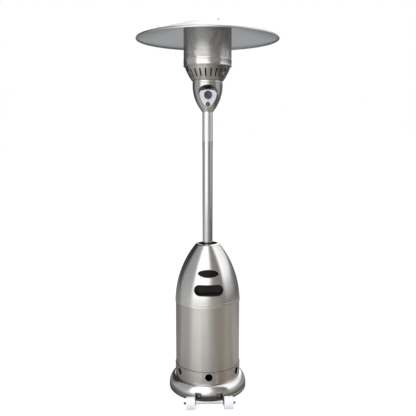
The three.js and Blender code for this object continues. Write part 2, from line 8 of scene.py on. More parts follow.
import bmesh
import bpy
import numpy as np
from mathutils import Matrix, Vector
from mathutils.geometry import delaunay_2d_cdt


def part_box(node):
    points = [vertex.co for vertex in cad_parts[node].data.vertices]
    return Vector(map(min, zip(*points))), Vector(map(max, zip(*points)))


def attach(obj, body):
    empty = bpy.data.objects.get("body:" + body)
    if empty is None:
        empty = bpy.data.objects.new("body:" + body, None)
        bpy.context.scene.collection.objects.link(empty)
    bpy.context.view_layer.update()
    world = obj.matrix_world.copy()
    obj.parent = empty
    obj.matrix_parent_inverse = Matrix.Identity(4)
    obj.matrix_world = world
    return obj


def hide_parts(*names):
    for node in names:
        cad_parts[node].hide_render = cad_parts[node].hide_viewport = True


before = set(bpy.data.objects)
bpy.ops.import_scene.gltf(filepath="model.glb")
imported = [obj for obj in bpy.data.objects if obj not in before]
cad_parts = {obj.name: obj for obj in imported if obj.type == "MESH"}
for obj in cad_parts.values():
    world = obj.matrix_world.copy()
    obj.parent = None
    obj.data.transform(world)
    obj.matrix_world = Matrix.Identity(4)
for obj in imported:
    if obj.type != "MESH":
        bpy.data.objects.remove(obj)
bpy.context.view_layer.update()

MM = 0.001
ONE_DEGREE = math.radians(1)
SHARP = math.radians(38)  # edges that turn more than this stay crisp
ROUND = 144  # steps round the large turned sheets
FINE = 96  # steps round the head
SMALL = 40  # steps round rods and fasteners
TINY = 16  # steps round shanks and rivets


def span(node):
    """Lowest and highest corner of a CAD node, in millimetres."""
    low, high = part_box(node)
    return low / MM, high / MM


# ---------------------------------------------------------------- sizes taken from the frame

SKIRT_LOW, SKIRT_HIGH = span("base_skirt")
BAND_LOW, BAND_HIGH = span("vent_band")
SLEEVE_LOW, SLEEVE_HIGH = span("tank_sleeve")
BULLET_LOW, BULLET_HIGH = span("bullet_cover")
CUP_LOW, CUP_HIGH = span("handle_cup")
BADGE_LOW, BADGE_HIGH = span("badge_rim")
POST_LOW, POST_HIGH = span("main_post")
LABEL_LOW, LABEL_HIGH = span("blank_label")
BOWL_LOW, BOWL_HIGH = span("control_housing")
PANEL_LOW, PANEL_HIGH = span("control_panel")
KNOB_LOW, KNOB_HIGH = span("knob")
CONE_LOW, CONE_HIGH = span("vent_cone")
RING_LOW, RING_HIGH = span("emitter_base_ring")
SCREEN_LOW, SCREEN_HIGH = span("emitter_screen")
DOME_LOW, DOME_HIGH = span("reflector")
WHEEL_LOW, WHEEL_HIGH = span("wheel_right")
AXLE_LOW, AXLE_HIGH = span("axle_rod")

SKIRT_TOP_RADIUS = 201
LIP_TOP = 24
LIP_TUCK = 12  # radius of the lip's turned-in foot
SADDLE_RADIUS = SKIRT_HIGH.x + 0.3  # plates that lie on the lip
BAND_BEAD = 3.2  # half height of the bead on the band's top edge
BULLET_RADIUS = BULLET_HIGH.x
BULLET_ARC = 554  # radius of the arc that the bullet's side follows
BULLET_CURL = BULLET_HIGH.z - 10  # where the side rolls over towards the mouth
MOUTH_RADIUS = 60
BOWL_RADIUS = BOWL_HIGH.x
BOWL_ARC = 240
BOWL_ARC_TOP = BOWL_HIGH.z - 10
NECK_TOP = BOWL_LOW.z + 5
RECESS_FRONT = -100.0
PANEL_FRONT = PANEL_LOW.y
PANEL_SHOULDER = 1806
CONE_BOTTOM_RADIUS = 93.5
CONE_TOP_RADIUS = CONE_HIGH.x
CONE_BOW = 0.356
DOME_FLAT = 134
DOME_RIM = 410
DOME_RIM_TOP = 2126
DOME_TOP = DOME_HIGH.z
DOME_FALL = DOME_TOP - DOME_RIM_TOP
KNOB_HEIGHT = 1797
IGNITER_HEIGHT = 1744
WHEEL_Y = (WHEEL_LOW.y + WHEEL_HIGH.y) / 2
WHEEL_Z = (WHEEL_LOW.z + WHEEL_HIGH.z) / 2


# ---------------------------------------------------------------- finishes

class Graph:
    """A short way to write a node tree."""

    def __init__(self, tree):
        self.tree = tree

    def node(self, kind, inputs=(), **settings):
        made = self.tree.nodes.new(kind)
        for name, value in settings.items():
            setattr(made, name, value)
        for key, value in dict(inputs).items():
            if isinstance(value, bpy.types.NodeSocket):
                self.tree.links.new(value, made.inputs[key])
            else:
                made.inputs[key].default_value = value
        return made

    def math(self, operation, *values):
        return self.node("ShaderNodeMath", enumerate(values), operation=operation).outputs[0]

    def noise(self, vector, detail, roughness=0.6, scale=1.0):
        inputs = {"Vector": vector, "Scale": scale, "Detail": detail, "Roughness": roughness}
        return self.node("ShaderNodeTexNoise", inputs).outputs["Fac"]

    def between(self, value, low, high, start=0.3, end=0.7):
        """value, from start to end, spread over low to high."""
        inputs = {0: value, 1: start, 2: end, 3: low, 4: high}
        return self.node("ShaderNodeMapRange", inputs).outputs[0]

    def blend(self, factor, first, second):
        mix = self.node("ShaderNodeMix", {0: factor, 6: first, 7: second}, data_type="RGBA")
        return mix.outputs[2]

    def toned(self, pattern, colour, change):
        """The colour made darker and lighter by a pattern."""
        dark, light = (tuple(min(1.0, c * f) for c in colour) + (1.0,) for f in (1 - change, 1 + change))
        return self.blend(self.between(pattern, 0, 1), dark, light)


def new_finish(name, metallic):
    material = bpy.data.materials.new(name)
    material.use_nodes = True
    graph = Graph(material.node_tree)
    shader = graph.tree.nodes["Principled BSDF"].inputs
    shader["Metallic"].default_value = metallic
    return material, graph, shader


def metal(name, colour, roughness, grain=(3, 260, 1), tone=0.09, scatter=0.05, bump=0.02,
          anisotropy=0.0, on_uv=True):
    """Metal with fine lines: grain is the line pattern's scale along, across and through the sheet."""
    cloud_scale, cloud_tone = (7, 7, 4), 0.05
    material, graph, shader = new_finish(name, 1.0)
    places = graph.node("ShaderNodeTexCoord").outputs
    pattern = graph.node("ShaderNodeMapping", {"Vector": places["UV" if on_uv else "Object"], "Scale": grain})
    lines = graph.noise(pattern.outputs[0], detail=6, roughness=0.72)
    broad = graph.node("ShaderNodeMapping", {"Vector": places["Object"], "Scale": cloud_scale})
    clouds = graph.noise(broad.outputs[0], detail=3)
    mixed = graph.blend(0.5, graph.toned(lines, colour, tone), graph.toned(clouds, colour, cloud_tone))
    rough = graph.math("ADD", graph.between(lines, roughness - scatter, roughness + scatter),
                       graph.between(clouds, -0.02, 0.03))
    relief = graph.node("ShaderNodeBump", {"Strength": bump * 10, "Distance": 0.0002, "Height": lines})
    links = graph.tree.links
    links.new(mixed, shader["Base Color"])
    links.new(rough, shader["Roughness"])
    links.new(relief.outputs[0], shader["Normal"])
    if anisotropy:
        shader["Anisotropic"].default_value = anisotropy
        shader["Anisotropic Rotation"].default_value = 0.25
        turn = graph.node("ShaderNodeTangent", direction_type="UV_MAP", uv_map="UVMap")
        links.new(turn.outputs[0], shader["Tangent"])
    return material


def even_metal(name, colour, roughness, grain, tone, bump=0.02):
    return metal(name, colour, roughness, (grain,) * 3, tone, bump=bump, on_uv=False)


def moulded(name, colour, roughness, grain=900, tone=0.06, bump=0.15, gloss=0.5):
    """Moulded plastic, rubber or a fired finish with a fine even grain."""
    material, graph, shader = new_finish(name, 0.0)
    places = graph.node("ShaderNodeTexCoord").outputs["Object"]
    fine = graph.noise(places, scale=grain, detail=3)
    broad = graph.noise(places, scale=18, detail=2)
    relief = graph.node("ShaderNodeBump", {"Strength": bump, "Distance": 0.0003, "Height": fine})
    links = graph.tree.links
    links.new(graph.toned(broad, colour, tone), shader["Base Color"])
    links.new(graph.between(fine, roughness - 0.06, roughness + 0.06), shader["Roughness"])
    links.new(relief.outputs[0], shader["Normal"])
    shader["Specular IOR Level"].default_value = gloss
    return material


BRUSHED, BRIGHT, DARK, BLACK = "brushed_stainless", "polished_stainless", "dark_steel", "black_plastic"

SATIN_SLEEVE = metal("satin_sleeve_steel", (0.60, 0.58, 0.55), 0.31, (2, 500, 1), bump=0.006,
                     anisotropy=0.9)
SATIN_BAND = metal("satin_band_steel", (0.60, 0.58, 0.55), 0.31, (2, 500, 1), 0.08, bump=0.006,
                   anisotropy=0.9)
SPUN_BULLET = metal("spun_bullet_steel", (0.70, 0.69, 0.68), 0.21, (2, 700, 1), 0.12, 0.04, 0.006,
                    anisotropy=0.8)
POLISHED = metal("polished_steel", (0.70, 0.695, 0.69), 0.18, (3, 400, 1), 0.06, 0.03, 0.006, 0.7)
POST_STEEL = metal("post_steel", (0.64, 0.64, 0.64), 0.17, (3, 300, 1), 0.06, bump=0.008,
                   anisotropy=0.7)
HEAD_STEEL = metal("head_steel", (0.58, 0.57, 0.55), 0.11, tone=0.08, scatter=0.03, bump=0.01)
RING_STEEL = metal("ring_steel", (0.66, 0.64, 0.62), 0.13, tone=0.08, scatter=0.03, bump=0.01)
CONE_STEEL = metal("cone_steel", (0.47, 0.455, 0.43), 0.15, (3, 200, 1), 0.10, 0.04, 0.01)
DOME_ALUMINIUM = metal("spun_aluminium", (0.62, 0.625, 0.63), 0.36, (1.5, 300, 1), 0.06)
PANEL_SILVER = metal("panel_silver", (0.74, 0.74, 0.79), 0.45, (260, 3, 260), 0.05,
                     on_uv=False)
LABEL_FILM = metal("label_film", (0.80, 0.80, 0.82), 0.40, (40, 40, 40), 0.03, anisotropy=0.3)
TIE_STEEL = metal("tie_steel", (0.32, 0.32, 0.32), 0.30, (30, 30, 200), 0.12, on_uv=False)
# Darker steel for the walls of the control recess: painted shade inside the recess.
RECESS_SHADE_STEEL = even_metal("recess_shade_steel", (0.30, 0.30, 0.28), 0.30, 60, 0.08)
SCREEN_STEEL = even_metal("screen_steel", (0.58, 0.575, 0.57), 0.30, 60, 0.08, bump=0.01)
DARK_STEEL = even_metal("dark_steel", (0.17, 0.17, 0.18), 0.42, 40, 0.15)
# Near-black steel for the inner and under sides of sheets: the dark colour is painted shade, the roughness is
# the unpolished finish.
DULL_SHADED_INSIDE = even_metal("dull_shaded_inside", (0.10, 0.10, 0.10), 0.55, 30, 0.15)
DULL_FASTENER = even_metal("dull_fastener", (0.16, 0.16, 0.17), 0.35, 90, 0.12)
BRIGHT_FASTENER = even_metal("bright_fastener", (0.70, 0.70, 0.69), 0.20, 90, 0.06)
BUTTON_STEEL = even_metal("button_steel", (0.30, 0.30, 0.31), 0.30, 90, 0.08)
BRASS = even_metal("brass", (0.60, 0.45, 0.20), 0.28, 120, 0.10)
BURNT_STEEL = even_metal("burnt_steel", (0.22, 0.19, 0.17), 0.45, 60, 0.25)
CAST_WEIGHT = moulded("cast_weight", (0.045, 0.045, 0.05), 0.75, grain=500, bump=0.5)
BLACK_PLASTIC = moulded("black_plastic", (0.006, 0.006, 0.007), 0.45, gloss=0.3)
BADGE_BLACK = moulded("badge_black", (0.003, 0.003, 0.004), 0.4, grain=500, bump=0.04, gloss=0.12)
KNOB_PLASTIC = moulded("knob_plastic", (0.030, 0.031, 0.048), 0.40)
WHEEL_PLASTIC = moulded("wheel_plastic", (0.60, 0.62, 0.67), 0.42, grain=600, tone=0.03)
CERAMIC = moulded("ceramic", (0.75, 0.72, 0.66), 0.30, grain=300, tone=0.03, bump=0.05)


# ---------------------------------------------------------------- outlines

def spaced(low, high, count):
    return [low + (high - low) * i / count for i in range(count + 1)]


def arc(centre, radius, start, end, steps, rise=None):
    """Points on an arc, angles in degrees; rise makes it an ellipse."""
    rise = radius if rise is None else rise
    angles = [math.radians(a) for a in spaced(start, end, steps)]
    return [(centre[0] + radius * math.cos(a), centre[1] + rise * math.sin(a)) for a in angles]


def ellipse(half_width, half_height, middle, steps=72):
    return arc((0, middle), half_width, 0, 360 - 360 / steps, steps - 1, half_height)


def bezier(a, b, c, d, steps):
    a, b, c, d = (Vector(p) for p in (a, b, c, d))
    return [a * (1 - t) ** 3 + b * 3 * t * (1 - t) ** 2 + c * 3 * t * t * (1 - t) + d * t ** 3
            for t in spaced(0, 1, steps)]


def softened(outline, radius, closed=True, steps=3):
    """The outline with its corners rounded, as bent and turned metal has."""
    made = []
    for i, point in enumerate(outline):
        here = Vector(point)
        before = here - Vector(outline[i - 1])
        after = Vector(outline[(i + 1) % len(outline)]) - here
        at_end = not closed and i in (0, len(outline) - 1)
        if at_end or min(before.length, after.length) < 1e-6 or before.angle(after) < 0.35:
            made.append(tuple(here))
            continue
        reach = min(radius, 0.45 * before.length, 0.45 * after.length)
        start, end = here - before.normalized() * reach, here + after.normalized() * reach
        for t in spaced(0, 1, steps):
            made.append(tuple(start * (1 - t) ** 2 + here * 2 * t * (1 - t) + end * t * t))
    return made


def shield(spread=0.0, top_raise=0.0, bottom_drop=0.0, steps=14):
    """The shield outline of the control panel, in (x, z)."""
    half = PANEL_HIGH.x + spread
    top = PANEL_HIGH.z + top_raise
    bottom = PANEL_LOW.z - bottom_drop
    shoulder = PANEL_SHOULDER + top_raise * 0.6
    right = bezier((0, top), (36, top), (half, top - 6), (half, shoulder), steps)[:-1]
    right += bezier((half, shoulder), (half, shoulder - 38), (20, bottom), (0, bottom), steps)
    left = [Vector((-p.x, p.y)) for p in reversed(right[1:-1])]
    return [tuple(p) for p in right + left]


def stadium(half_width, half_height, middle, steps=20):
    """A slot outline in (x, z) with round ends, its straight runs stepped so that they can follow a curve."""
    straight = half_width - half_height
    right = arc((straight, middle), half_height, -90, 90, steps)
    left = arc((-straight, middle), half_height, 90, 270, steps)
    run = [straight * (1 - 2 * i / steps) for i in range(1, steps)]
    over = [(x, middle + half_height) for x in run]
    return right + over + left + [(-x, middle - half_height) for x in run]


# ---------------------------------------------------------------- meshes

def outward(mesh, weld=0.0):
    """Turns a mesh's faces outwards, after its shared corners are merged where a distance is given."""
    work = bmesh.new()
    work.from_mesh(mesh)
    if weld:
        bmesh.ops.remove_doubles(work, verts=work.verts, dist=weld)
        bmesh.ops.dissolve_degenerate(work, edges=work.edges, dist=weld / 2)
    bmesh.ops.recalc_face_normals(work, faces=work.faces)
    work.to_mesh(mesh)
    work.free()
    return mesh


def build(points, faces, uvs, merge=True):
    """A mesh from points in millimetres, with a place on the sheet for each corner of each face."""
    mesh = bpy.data.meshes.new("shape")
    mesh.from_pydata([Vector(p) * MM for p in points], [], faces)
    layer = mesh.uv_layers.new(name="UVMap")
    layer.data.foreach_set("uv", [c * MM for uv in uvs for c in uv])
    return outward(mesh, weld=2e-6) if merge else mesh


def turned(outline, segments=FINE, soften=0.0):
    """An outline of (radius, height) points turned about Z: a ring, or a solid if it starts on the axis."""
    solid = outline[0][0] == 0
    if soften:
        outline = softened(outline, soften, closed=not solid)
    count = len(outline)
    widest = max(r for r, _ in outline)
    lengths = [0.0]
    for a, b in zip(outline, outline[1:] + outline[:1]):
        lengths.append(lengths[-1] + math.dist(a, b))
    points = []
    for i in range(segments):
        angle = 2 * math.pi * i / segments
        points += [(-r * math.sin(angle), r * math.cos(angle), z) for r, z in outline]
    faces, uvs = [], []
    for i in range(segments):
        here, there = i * count, (i + 1) % segments * count
        left, right = (widest * 2 * math.pi * (i + k) / segments for k in (0, 1))
        for j in range(count - 1 if solid else count):
            k = (j + 1) % count
            low, high = lengths[j], lengths[j + 1]
            faces.append((here + j, here + k, there + k, there + j))
            uvs += [(left, low), (left, high), (right, high), (right, low)]
    return build(points, faces, uvs)


def skinned(loops, capped=True):
    """A body whose skin passes through loops of points of one length: capped, or closed on itself."""
    count = len(loops[0])
    points = [p for loop in loops for p in loop]
    faces = []
    for i in range(len(loops) - 1 if capped else len(loops)):
        a, b = i * count, (i + 1) % len(loops) * count
        faces += [(a + j, a + (j + 1) % count, b + (j + 1) % count, b + j) for j in range(count)]
    if capped:
        faces += [tuple(range(count)), tuple(range(len(points) - count, len(points)))]
    uvs = [(points[i][0] + points[i][1], points[i][2]) for face in faces for i in face]
    return build(points, faces, uvs)


def inside(points, loops):
    """Which of the points lie inside the first loop and outside the others, all flat."""
    points = np.asarray(points, float).reshape(-1, 2)
    found = np.zeros(len(points), bool)
    for loop in loops:
        for (x0, y0), (x1, y1) in zip(loop, loop[1:] + loop[:1]):
            if y0 == y1:
                continue
            crosses = (points[:, 1] < y0) != (points[:, 1] < y1)
            where = x0 + (points[:, 1] - y0) * (x1 - x0) / (y1 - y0)
            found ^= crosses & (points[:, 0] < where)
    return found


def laid_sheet(place, across, up, thick, scale=1.0, holes=(), outline=None, joins=""):
    """A flat pattern of (u, v) points with holes, laid where place(u, v, depth) says, with a wall.

    across and up are the grid's u and v values, and the outline is the grid's own edge unless another is
    given. scale turns u into millimetres. joins is "neighbours" or "itself" where the two ends stay open.
    """
    if outline is None:
        outline = [(u, up[0]) for u in across[:-1]] + [(across[-1], v) for v in up[:-1]]
        outline += [(u, up[-1]) for u in across[:0:-1]] + [(across[0], v) for v in up[:0:-1]]
    loops = [[Vector((u * scale, v)) for u, v in loop] for loop in (outline, *holes)]
    corners, edges = [], []
    for loop in loops:
        first = len(corners)
        corners += loop
        edges += [(first + i, first + (i + 1) % len(loop)) for i in range(len(loop))]
    grid = np.array([(u * scale, v) for u in across for v in up])
    kept = inside(grid, loops)
    clear = abs(across[1] - across[0]) * scale * 0.3
    edge_points = np.array([tuple(c) for c in corners])
    for i in np.flatnonzero(kept):
        kept[i] = np.min(np.abs(edge_points - grid[i]).sum(1)) > clear
    corners += [Vector(p) for p in grid[kept]]
    flat, _, triangles = delaunay_2d_cdt(corners, edges, [], 0, 1e-4)[:3]
    middles = np.array([np.mean([flat[i] for i in t], axis=0) for t in triangles])
    triangles = [t for t, solid in zip(triangles, inside(middles, loops)) if solid]
    total = len(flat)
    points = [place(p.x / scale, p.y, depth) for depth in (0.0, thick) for p in flat]
    faces = [tuple(t) for t in triangles] + [tuple(total + i for i in reversed(t)) for t in triangles]
    ends = [u * scale for u in (across[0], across[-1])] if joins else []
    sides = dict.fromkeys((a, b) for t in triangles for a, b in zip(t, t[1:] + t[:1]))
    for a, b in sides:
        open_end = any(max(abs(flat[a].x - x), abs(flat[b].x - x)) < 1e-3 for x in ends)
        if (b, a) not in sides and not open_end:
            faces.append((b, a, total + a, total + b))
    uvs = [tuple(flat[i % total]) for face in faces for i in face]
    return build(points, faces, uvs, merge=joins != "neighbours")


def upright(height):
    return 0.0


def around(radius_at, lean_at=upright):
    """A place function for sheet rolled about Z: u is degrees from the front, v the height."""
    def place(u, v, depth):
        lean = lean_at(v)
        radius = radius_at(v) - depth * math.cos(lean)
        angle = math.radians(u)
        return (radius * math.sin(angle), -radius * math.cos(angle), v - depth * math.sin(lean))
    return place


def joined(*meshes):
    """One mesh from several, each keeping its UV map."""
    work = bmesh.new()
    for mesh in meshes:
        work.from_mesh(mesh)
        bpy.data.meshes.remove(mesh)
    made = bpy.data.meshes.new("shape")
    work.to_mesh(made)
    work.free()
    return made


FACING_FRONT = Matrix.Rotation(math.pi / 2, 4, "X")  # the Z axis turned to point along -Y
ALONG_X = Matrix.Rotation(math.pi / 2, 4, "Y")
ALONG_MINUS_X = Matrix.Rotation(-math.pi / 2, 4, "Y")
ON_EDGE = Matrix(((0, 0, 1, 0), (1, 0, 0, 0), (0, 1, 0, 0), (0, 0, 0, 1)))  # lying to upright, across X


def moved(mesh, x=0.0, y=0.0, z=0.0, turn=Matrix()):
    """A mesh put in place: turned first, then shifted by millimetres."""
    mesh.transform(Matrix.Translation(Vector((x, y, z)) * MM) @ turn)
    return mesh


def rounded(mesh, lean_at=upright, least=0.8):
    """Gives a cut or repeated sheet the normals of the whole turned surface that it was cut from."""
    mesh.shade_smooth()
    made = []
    for face in mesh.polygons:
        for index in face.vertices:
            point = mesh.vertices[index].co / MM
            lean = lean_at(point.z)
            wanted = Vector((point.x, point.y, 0)).normalized() * math.cos(lean)
            wanted.z = math.sin(lean)
            facing = face.normal.dot(wanted)
            made.append(face.normal if abs(facing) < least else wanted * math.copysign(1, facing))
    mesh.normals_split_custom_set([tuple(n) for n in made])
    return mesh


def piece(name, mesh, finish, *nodes, body="stand", slot=None, crisp=SHARP, shaded=False):
    """Puts a finished mesh in the scene, ties it to its body and hides the CAD nodes that it stands for; slot
    is not used.
    """
    made = bpy.data.objects.new(name, mesh)
    mesh.name = name
    bpy.context.scene.collection.objects.link(made)
    mesh.materials.clear()
    mesh.materials.append(finish)
    if not shaded:
        mesh.shade_smooth()
        mesh.set_sharp_from_angle(angle=crisp)
    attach(made, body)
    if nodes:
        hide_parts(*nodes)
    return made


def facing_in(normal, centre):
    return normal.xy.dot(centre.xy) < -0.3 * centre.xy.length


def dull_and_shade_where(made, chosen=facing_in):
    """Gives the unpolished side of a sheet a rough finish and a near-black colour that is painted shade:
    chosen takes a face's normal and centre.
    """
    made.data.materials.append(DULL_SHADED_INSIDE)
    for face in made.data.polygons:
        if chosen(face.normal, face.center):
            face.material_index = 1


# ---------------------------------------------------------------- copies round an axis

def ring_tree():
    """Geometry nodes that copy a piece round the Z axis, in rows, and weld the copies together."""
    tree = bpy.data.node_groups.new("copies_round_the_axis", "GeometryNodeTree")
    sockets = {
        "Piece": "Geometry", "Copies": "Int", "Rows": "Int", "Row rise": "Float", "Row shift": "Float",
        "First angle": "Float", "Weld distance": "Float", "Finish": "Material",
    }
    for name, kind in sockets.items():
        tree.interface.new_socket(name=name, in_out="INPUT", socket_type=f"NodeSocket{kind}")
    tree.interface.new_socket(name="Copies joined", in_out="OUTPUT", socket_type="NodeSocketGeometry")
    graph = Graph(tree)
    given = graph.node("NodeGroupInput").outputs
    index = graph.node("GeometryNodeInputIndex").outputs[0]
    total = graph.math("MULTIPLY", given["Copies"], given["Rows"])
    row = graph.math("FLOOR", graph.math("DIVIDE", graph.math("ADD", index, 0.5), given["Copies"]))
    step = graph.math("DIVIDE", 2 * math.pi, given["Copies"])
    column = graph.math("ADD", index, graph.math("MULTIPLY", row, given["Row shift"]))
    angle = graph.math("ADD", graph.math("MULTIPLY", column, step), given["First angle"])
    height = graph.math("MULTIPLY", row, given["Row rise"])
    place = graph.node("ShaderNodeCombineXYZ", {"Z": height}).outputs[0]
    turn = graph.node("ShaderNodeCombineXYZ", {"Z": angle}).outputs[0]
    rotation = graph.node("FunctionNodeEulerToRotation", {0: turn}).outputs[0]
    points = graph.node("GeometryNodePoints", {"Count": total, "Position": place}).outputs[0]
    copies = graph.node("GeometryNodeInstanceOnPoints", {
        "Points": points, "Instance": given["Piece"], "Rotation": rotation}).outputs[0]
    real = graph.node("GeometryNodeRealizeInstances", {0: copies}).outputs[0]
    welded = graph.node("GeometryNodeMergeByDistance", {
        "Geometry": real, "Distance": given["Weld distance"]}).outputs[0]
    finished = graph.node("GeometryNodeSetMaterial", {
        "Geometry": welded, "Material": given["Finish"]}).outputs[0]
    graph.node("NodeGroupOutput", {0: finished})
    return tree


RING_TREE = ring_tree()


def ring_of(mesh, finish, copies, first_angle=0.0, rows=1, row_rise=0.0, row_shift=0.0, weld=0.0):
    """A plain mesh of copies round Z: sizes in millimetres, the first angle in degrees."""
    host = bpy.data.objects.new("host", mesh)
    bpy.context.scene.collection.objects.link(host)
    modifier = host.modifiers.new("copies", "NODES")
    modifier.node_group = RING_TREE
    values = {
        "Copies": copies, "Rows": rows, "Row rise": row_rise * MM, "Row shift": row_shift,
        "First angle": math.radians(first_angle), "Weld distance": weld * MM, "Finish": finish,
    }
    for item in RING_TREE.interface.items_tree:
        if item.name in values and item.in_out == "INPUT":
            modifier[item.identifier] = values[item.name]
    graph = bpy.context.evaluated_depsgraph_get()
    made = bpy.data.meshes.new_from_object(host.evaluated_get(graph), depsgraph=graph)
    bpy.data.objects.remove(host)
    bpy.data.meshes.remove(mesh)
    return made


def three_round(name, part, finish, first_angle, node=None):
    """Three copies of a part round the axis, for CAD nodes that are numbered 1 to 3."""
    nodes = [f"{node}_{i}" for i in (1, 2, 3)] if node else []
    piece(name, ring_of(part, finish, 3, first_angle), finish, *nodes)


# ---------------------------------------------------------------- fasteners and plates

def hexagon_bar(across, stations):
    """A six-sided bar through (height, share of its width) stations."""
    corners = arc((0, 0), across / math.sqrt(3), 0, 300, 5)
    return skinned([[(x * share, y * share, z) for x, y in corners] for z, share in stations])


def hex_head(across, low, high, washer=0.0):
    """A hexagon head with a chamfered top, over a washer."""
    head = hexagon_bar(across, ((low, 1.0), (high - 0.8, 1.0), (high, 0.9)))
    if not washer:
        return head
    return joined(head, turned([(0, low), (washer, low), (washer, low - 1), (0, low - 1)], SMALL, 0.3))


def acorn(low, across, hex_tall, dome_radius, dome_top):
    """A domed nut on a hexagon foot, standing on a height."""
    top = low + hex_tall
    foot = hexagon_bar(across, ((low, 0.94), (low + 0.6, 1.0), (top - 0.6, 1.0), (top, 0.93)))
    shell = [(0, top - 0.5), (dome_radius, top - 0.5), (dome_radius, top + 0.5)]
    shell += arc((0, top + 0.5), dome_radius, 10, 90, 6, dome_top - top - 0.5)[:-1]
    return joined(foot, turned(shell + [(0, dome_top)], 24))


def stud_head(foot, shoulder, crown, rise, start, end):
    """A domed round head on a short edge, its crown an arc from one angle to another."""
    edge = 0.5
    outline = [(0, 0), (foot, 0), (shoulder, edge)] + arc((0, edge), crown, start, end, 4, rise)
    return turned(outline + [(0, edge + rise)], TINY)


def pin(radius, low, high):
    return turned([(0, low), (radius, low), (radius, high), (0, high)], TINY, 0.4)


def plate_between(outline, low, high, soften=0.8, centre=None):
    """A flat plate of an (x, y) outline between two heights, its edges eased."""
    if centre is None:
        centre = (sum(x for x, _ in outline) / len(outline), sum(y for _, y in outline) / len(outline))
    loops = []
    for z, inset in ((low, soften), (low + soften, 0), (high - soften, 0), (high, soften)):
        away = [Vector(point) - Vector(centre) for point in outline]
        loops.append([(*(Vector(centre) + reach * (1 - inset / reach.length)), z) for reach in away])
    return skinned(loops)


# ---------------------------------------------------------------- base

def make_base():
    top, lip, inner, under_band = SKIRT_HIGH.z, SKIRT_HIGH.x, SKIRT_TOP_RADIUS, 197 * MM
    outline = [(0, top), (inner - 1, top)] + arc((inner, LIP_TOP), lip - inner, 90, 4, 22, top - LIP_TOP)
    tuck = arc((lip - LIP_TUCK, LIP_TUCK + 3), LIP_TUCK, 0, -84, 8)
    outline += [(lip - 0.2, LIP_TOP), (lip - 1.2, LIP_TOP - 1.2), (lip - 0.1, LIP_TOP - 2.4)] + tuck
    outline += [(lip - LIP_TUCK, 4.2)] + [(r - 1, z + 0.6) for r, z in reversed(tuck[:-1])]
    outline += arc((inner, LIP_TOP), lip - inner - 1, 4, 90, 16, top - LIP_TOP - 1) + [(0, top - 1)]
    skirt = piece("skirt_shell", turned(outline, ROUND * 2), POLISHED, "base_skirt")
    # The skirt's underside and its top inside the band get the near-black inner finish: painted shade under
    # the skirt and under the band.
    dull_and_shade_where(skirt, lambda n, c: n.z > 0.9 and c.xy.length < under_band or n.z < -0.5)

    low, high = span("base_plate")
    radius = high.x - LIP_TUCK
    plate = [(0, low.z + 0.6), (60, low.z + 0.6), (64, low.z), (radius - 1, low.z), (radius, low.z + 0.6)]
    plate += [(radius, high.z), (66, high.z), (62, high.z + 0.2), (0, high.z + 0.2)]
    piece("floor_plate", turned(plate), DARK_STEEL, "base_plate")


def band_radius(height):
    """The band is plain up to its top edge, which is rolled into a bead."""
    bead = BAND_HIGH.z - BAND_BEAD
    swell = math.sqrt(max(0.0, 1 - ((height - bead) / BAND_BEAD) ** 2))
    return BAND_HIGH.x - 1.2 + 1.2 * swell


def make_vent_band():
    holes, hole_radius, hole_height, hole_steps = 6, 23.0, 138.0, 56
    low, high, half = BAND_LOW.z, BAND_HIGH.z, 180 / holes
    scale = ONE_DEGREE * BAND_HIGH.x
    place = around(band_radius)

    def hole(radius):
        return [(x / scale, z) for x, z in ellipse(radius, radius, hole_height, hole_steps)]

    up = sorted(set(spaced(low, high - 7, 16) + spaced(high - 6.6, high, 8)))
    sector = laid_sheet(place, spaced(-half, half, 30), up, 1.0, scale, [hole(hole_radius)],
                        joins="neighbours")
    sheet = rounded(outward(ring_of(sector, SATIN_BAND, holes, weld=0.01)))
    dull_and_shade_where(piece("band_shell", sheet, SATIN_BAND, "vent_band", shaded=True))
    rim = []
    for inset, depth in (
            (-1.6, -0.25), (-0.6, -0.7), (0.5, -0.5), (0.9, 0.4), (0.8, 1.6), (0.0, 1.6), (-0.2, 0.6)):
        rim.append([place(u, v, depth) for u, v in hole(hole_radius - inset)])
    piece("vent_hole_rims", ring_of(skinned(rim, capped=False), SATIN_BAND, holes), SATIN_BAND)


# ---------------------------------------------------------------- legs and post

def tube(path, radius, sides=TINY):
    """A closed round bar along a path of points."""
    loops, side = [], Vector((0, 1, 0))
    for i, point in enumerate(path):
        ahead = (path[min(i + 1, len(path) - 1)] - path[max(i - 1, 0)]).normalized()
        side = (side - ahead * side.dot(ahead)).normalized()
        other = ahead.cross(side)
        angles = [2 * math.pi * k / sides for k in range(sides)]
        loops.append([tuple(point + (side * math.cos(a) + other * math.sin(a)) * radius) for a in angles])
    return skinned(loops)


def make_legs():
    leg_ring, neck_ring, bolt_ring, radius, bend_low = 175, 60, 157, 9.5, 540
    foot_low = SKIRT_HIGH.z + 0.3
    foot_top = foot_low + 4
    leg_top = span("post_flange")[0].z - 0.3
    path = [Vector((leg_ring, 0, foot_top - 1)), Vector((leg_ring, 0, 300))]
    path += bezier((leg_ring, 0, bend_low), (leg_ring, 0, bend_low + 100), (neck_ring, 0, 600),
                   (neck_ring, 0, leg_top), 24)
    foot = plate_between(softened([(146, -15), (190, -15), (190, 15), (146, 15)], 5), foot_low, foot_top)
    collar = turned([(9.6, foot_top), (13, foot_top), (9.6, foot_top + 4)], 24, 0.5)
    leg = joined(tube(path, radius), foot, moved(collar, x=leg_ring))
    three_round("support_legs", leg, DARK_STEEL, 90, "support_leg")
    bolt = moved(hex_head(10, foot_top + 1.2, foot_top + 5, washer=6.4), x=bolt_ring)
    three_round("leg_bolts", bolt, BRIGHT_FASTENER, 90, "leg_bolt")


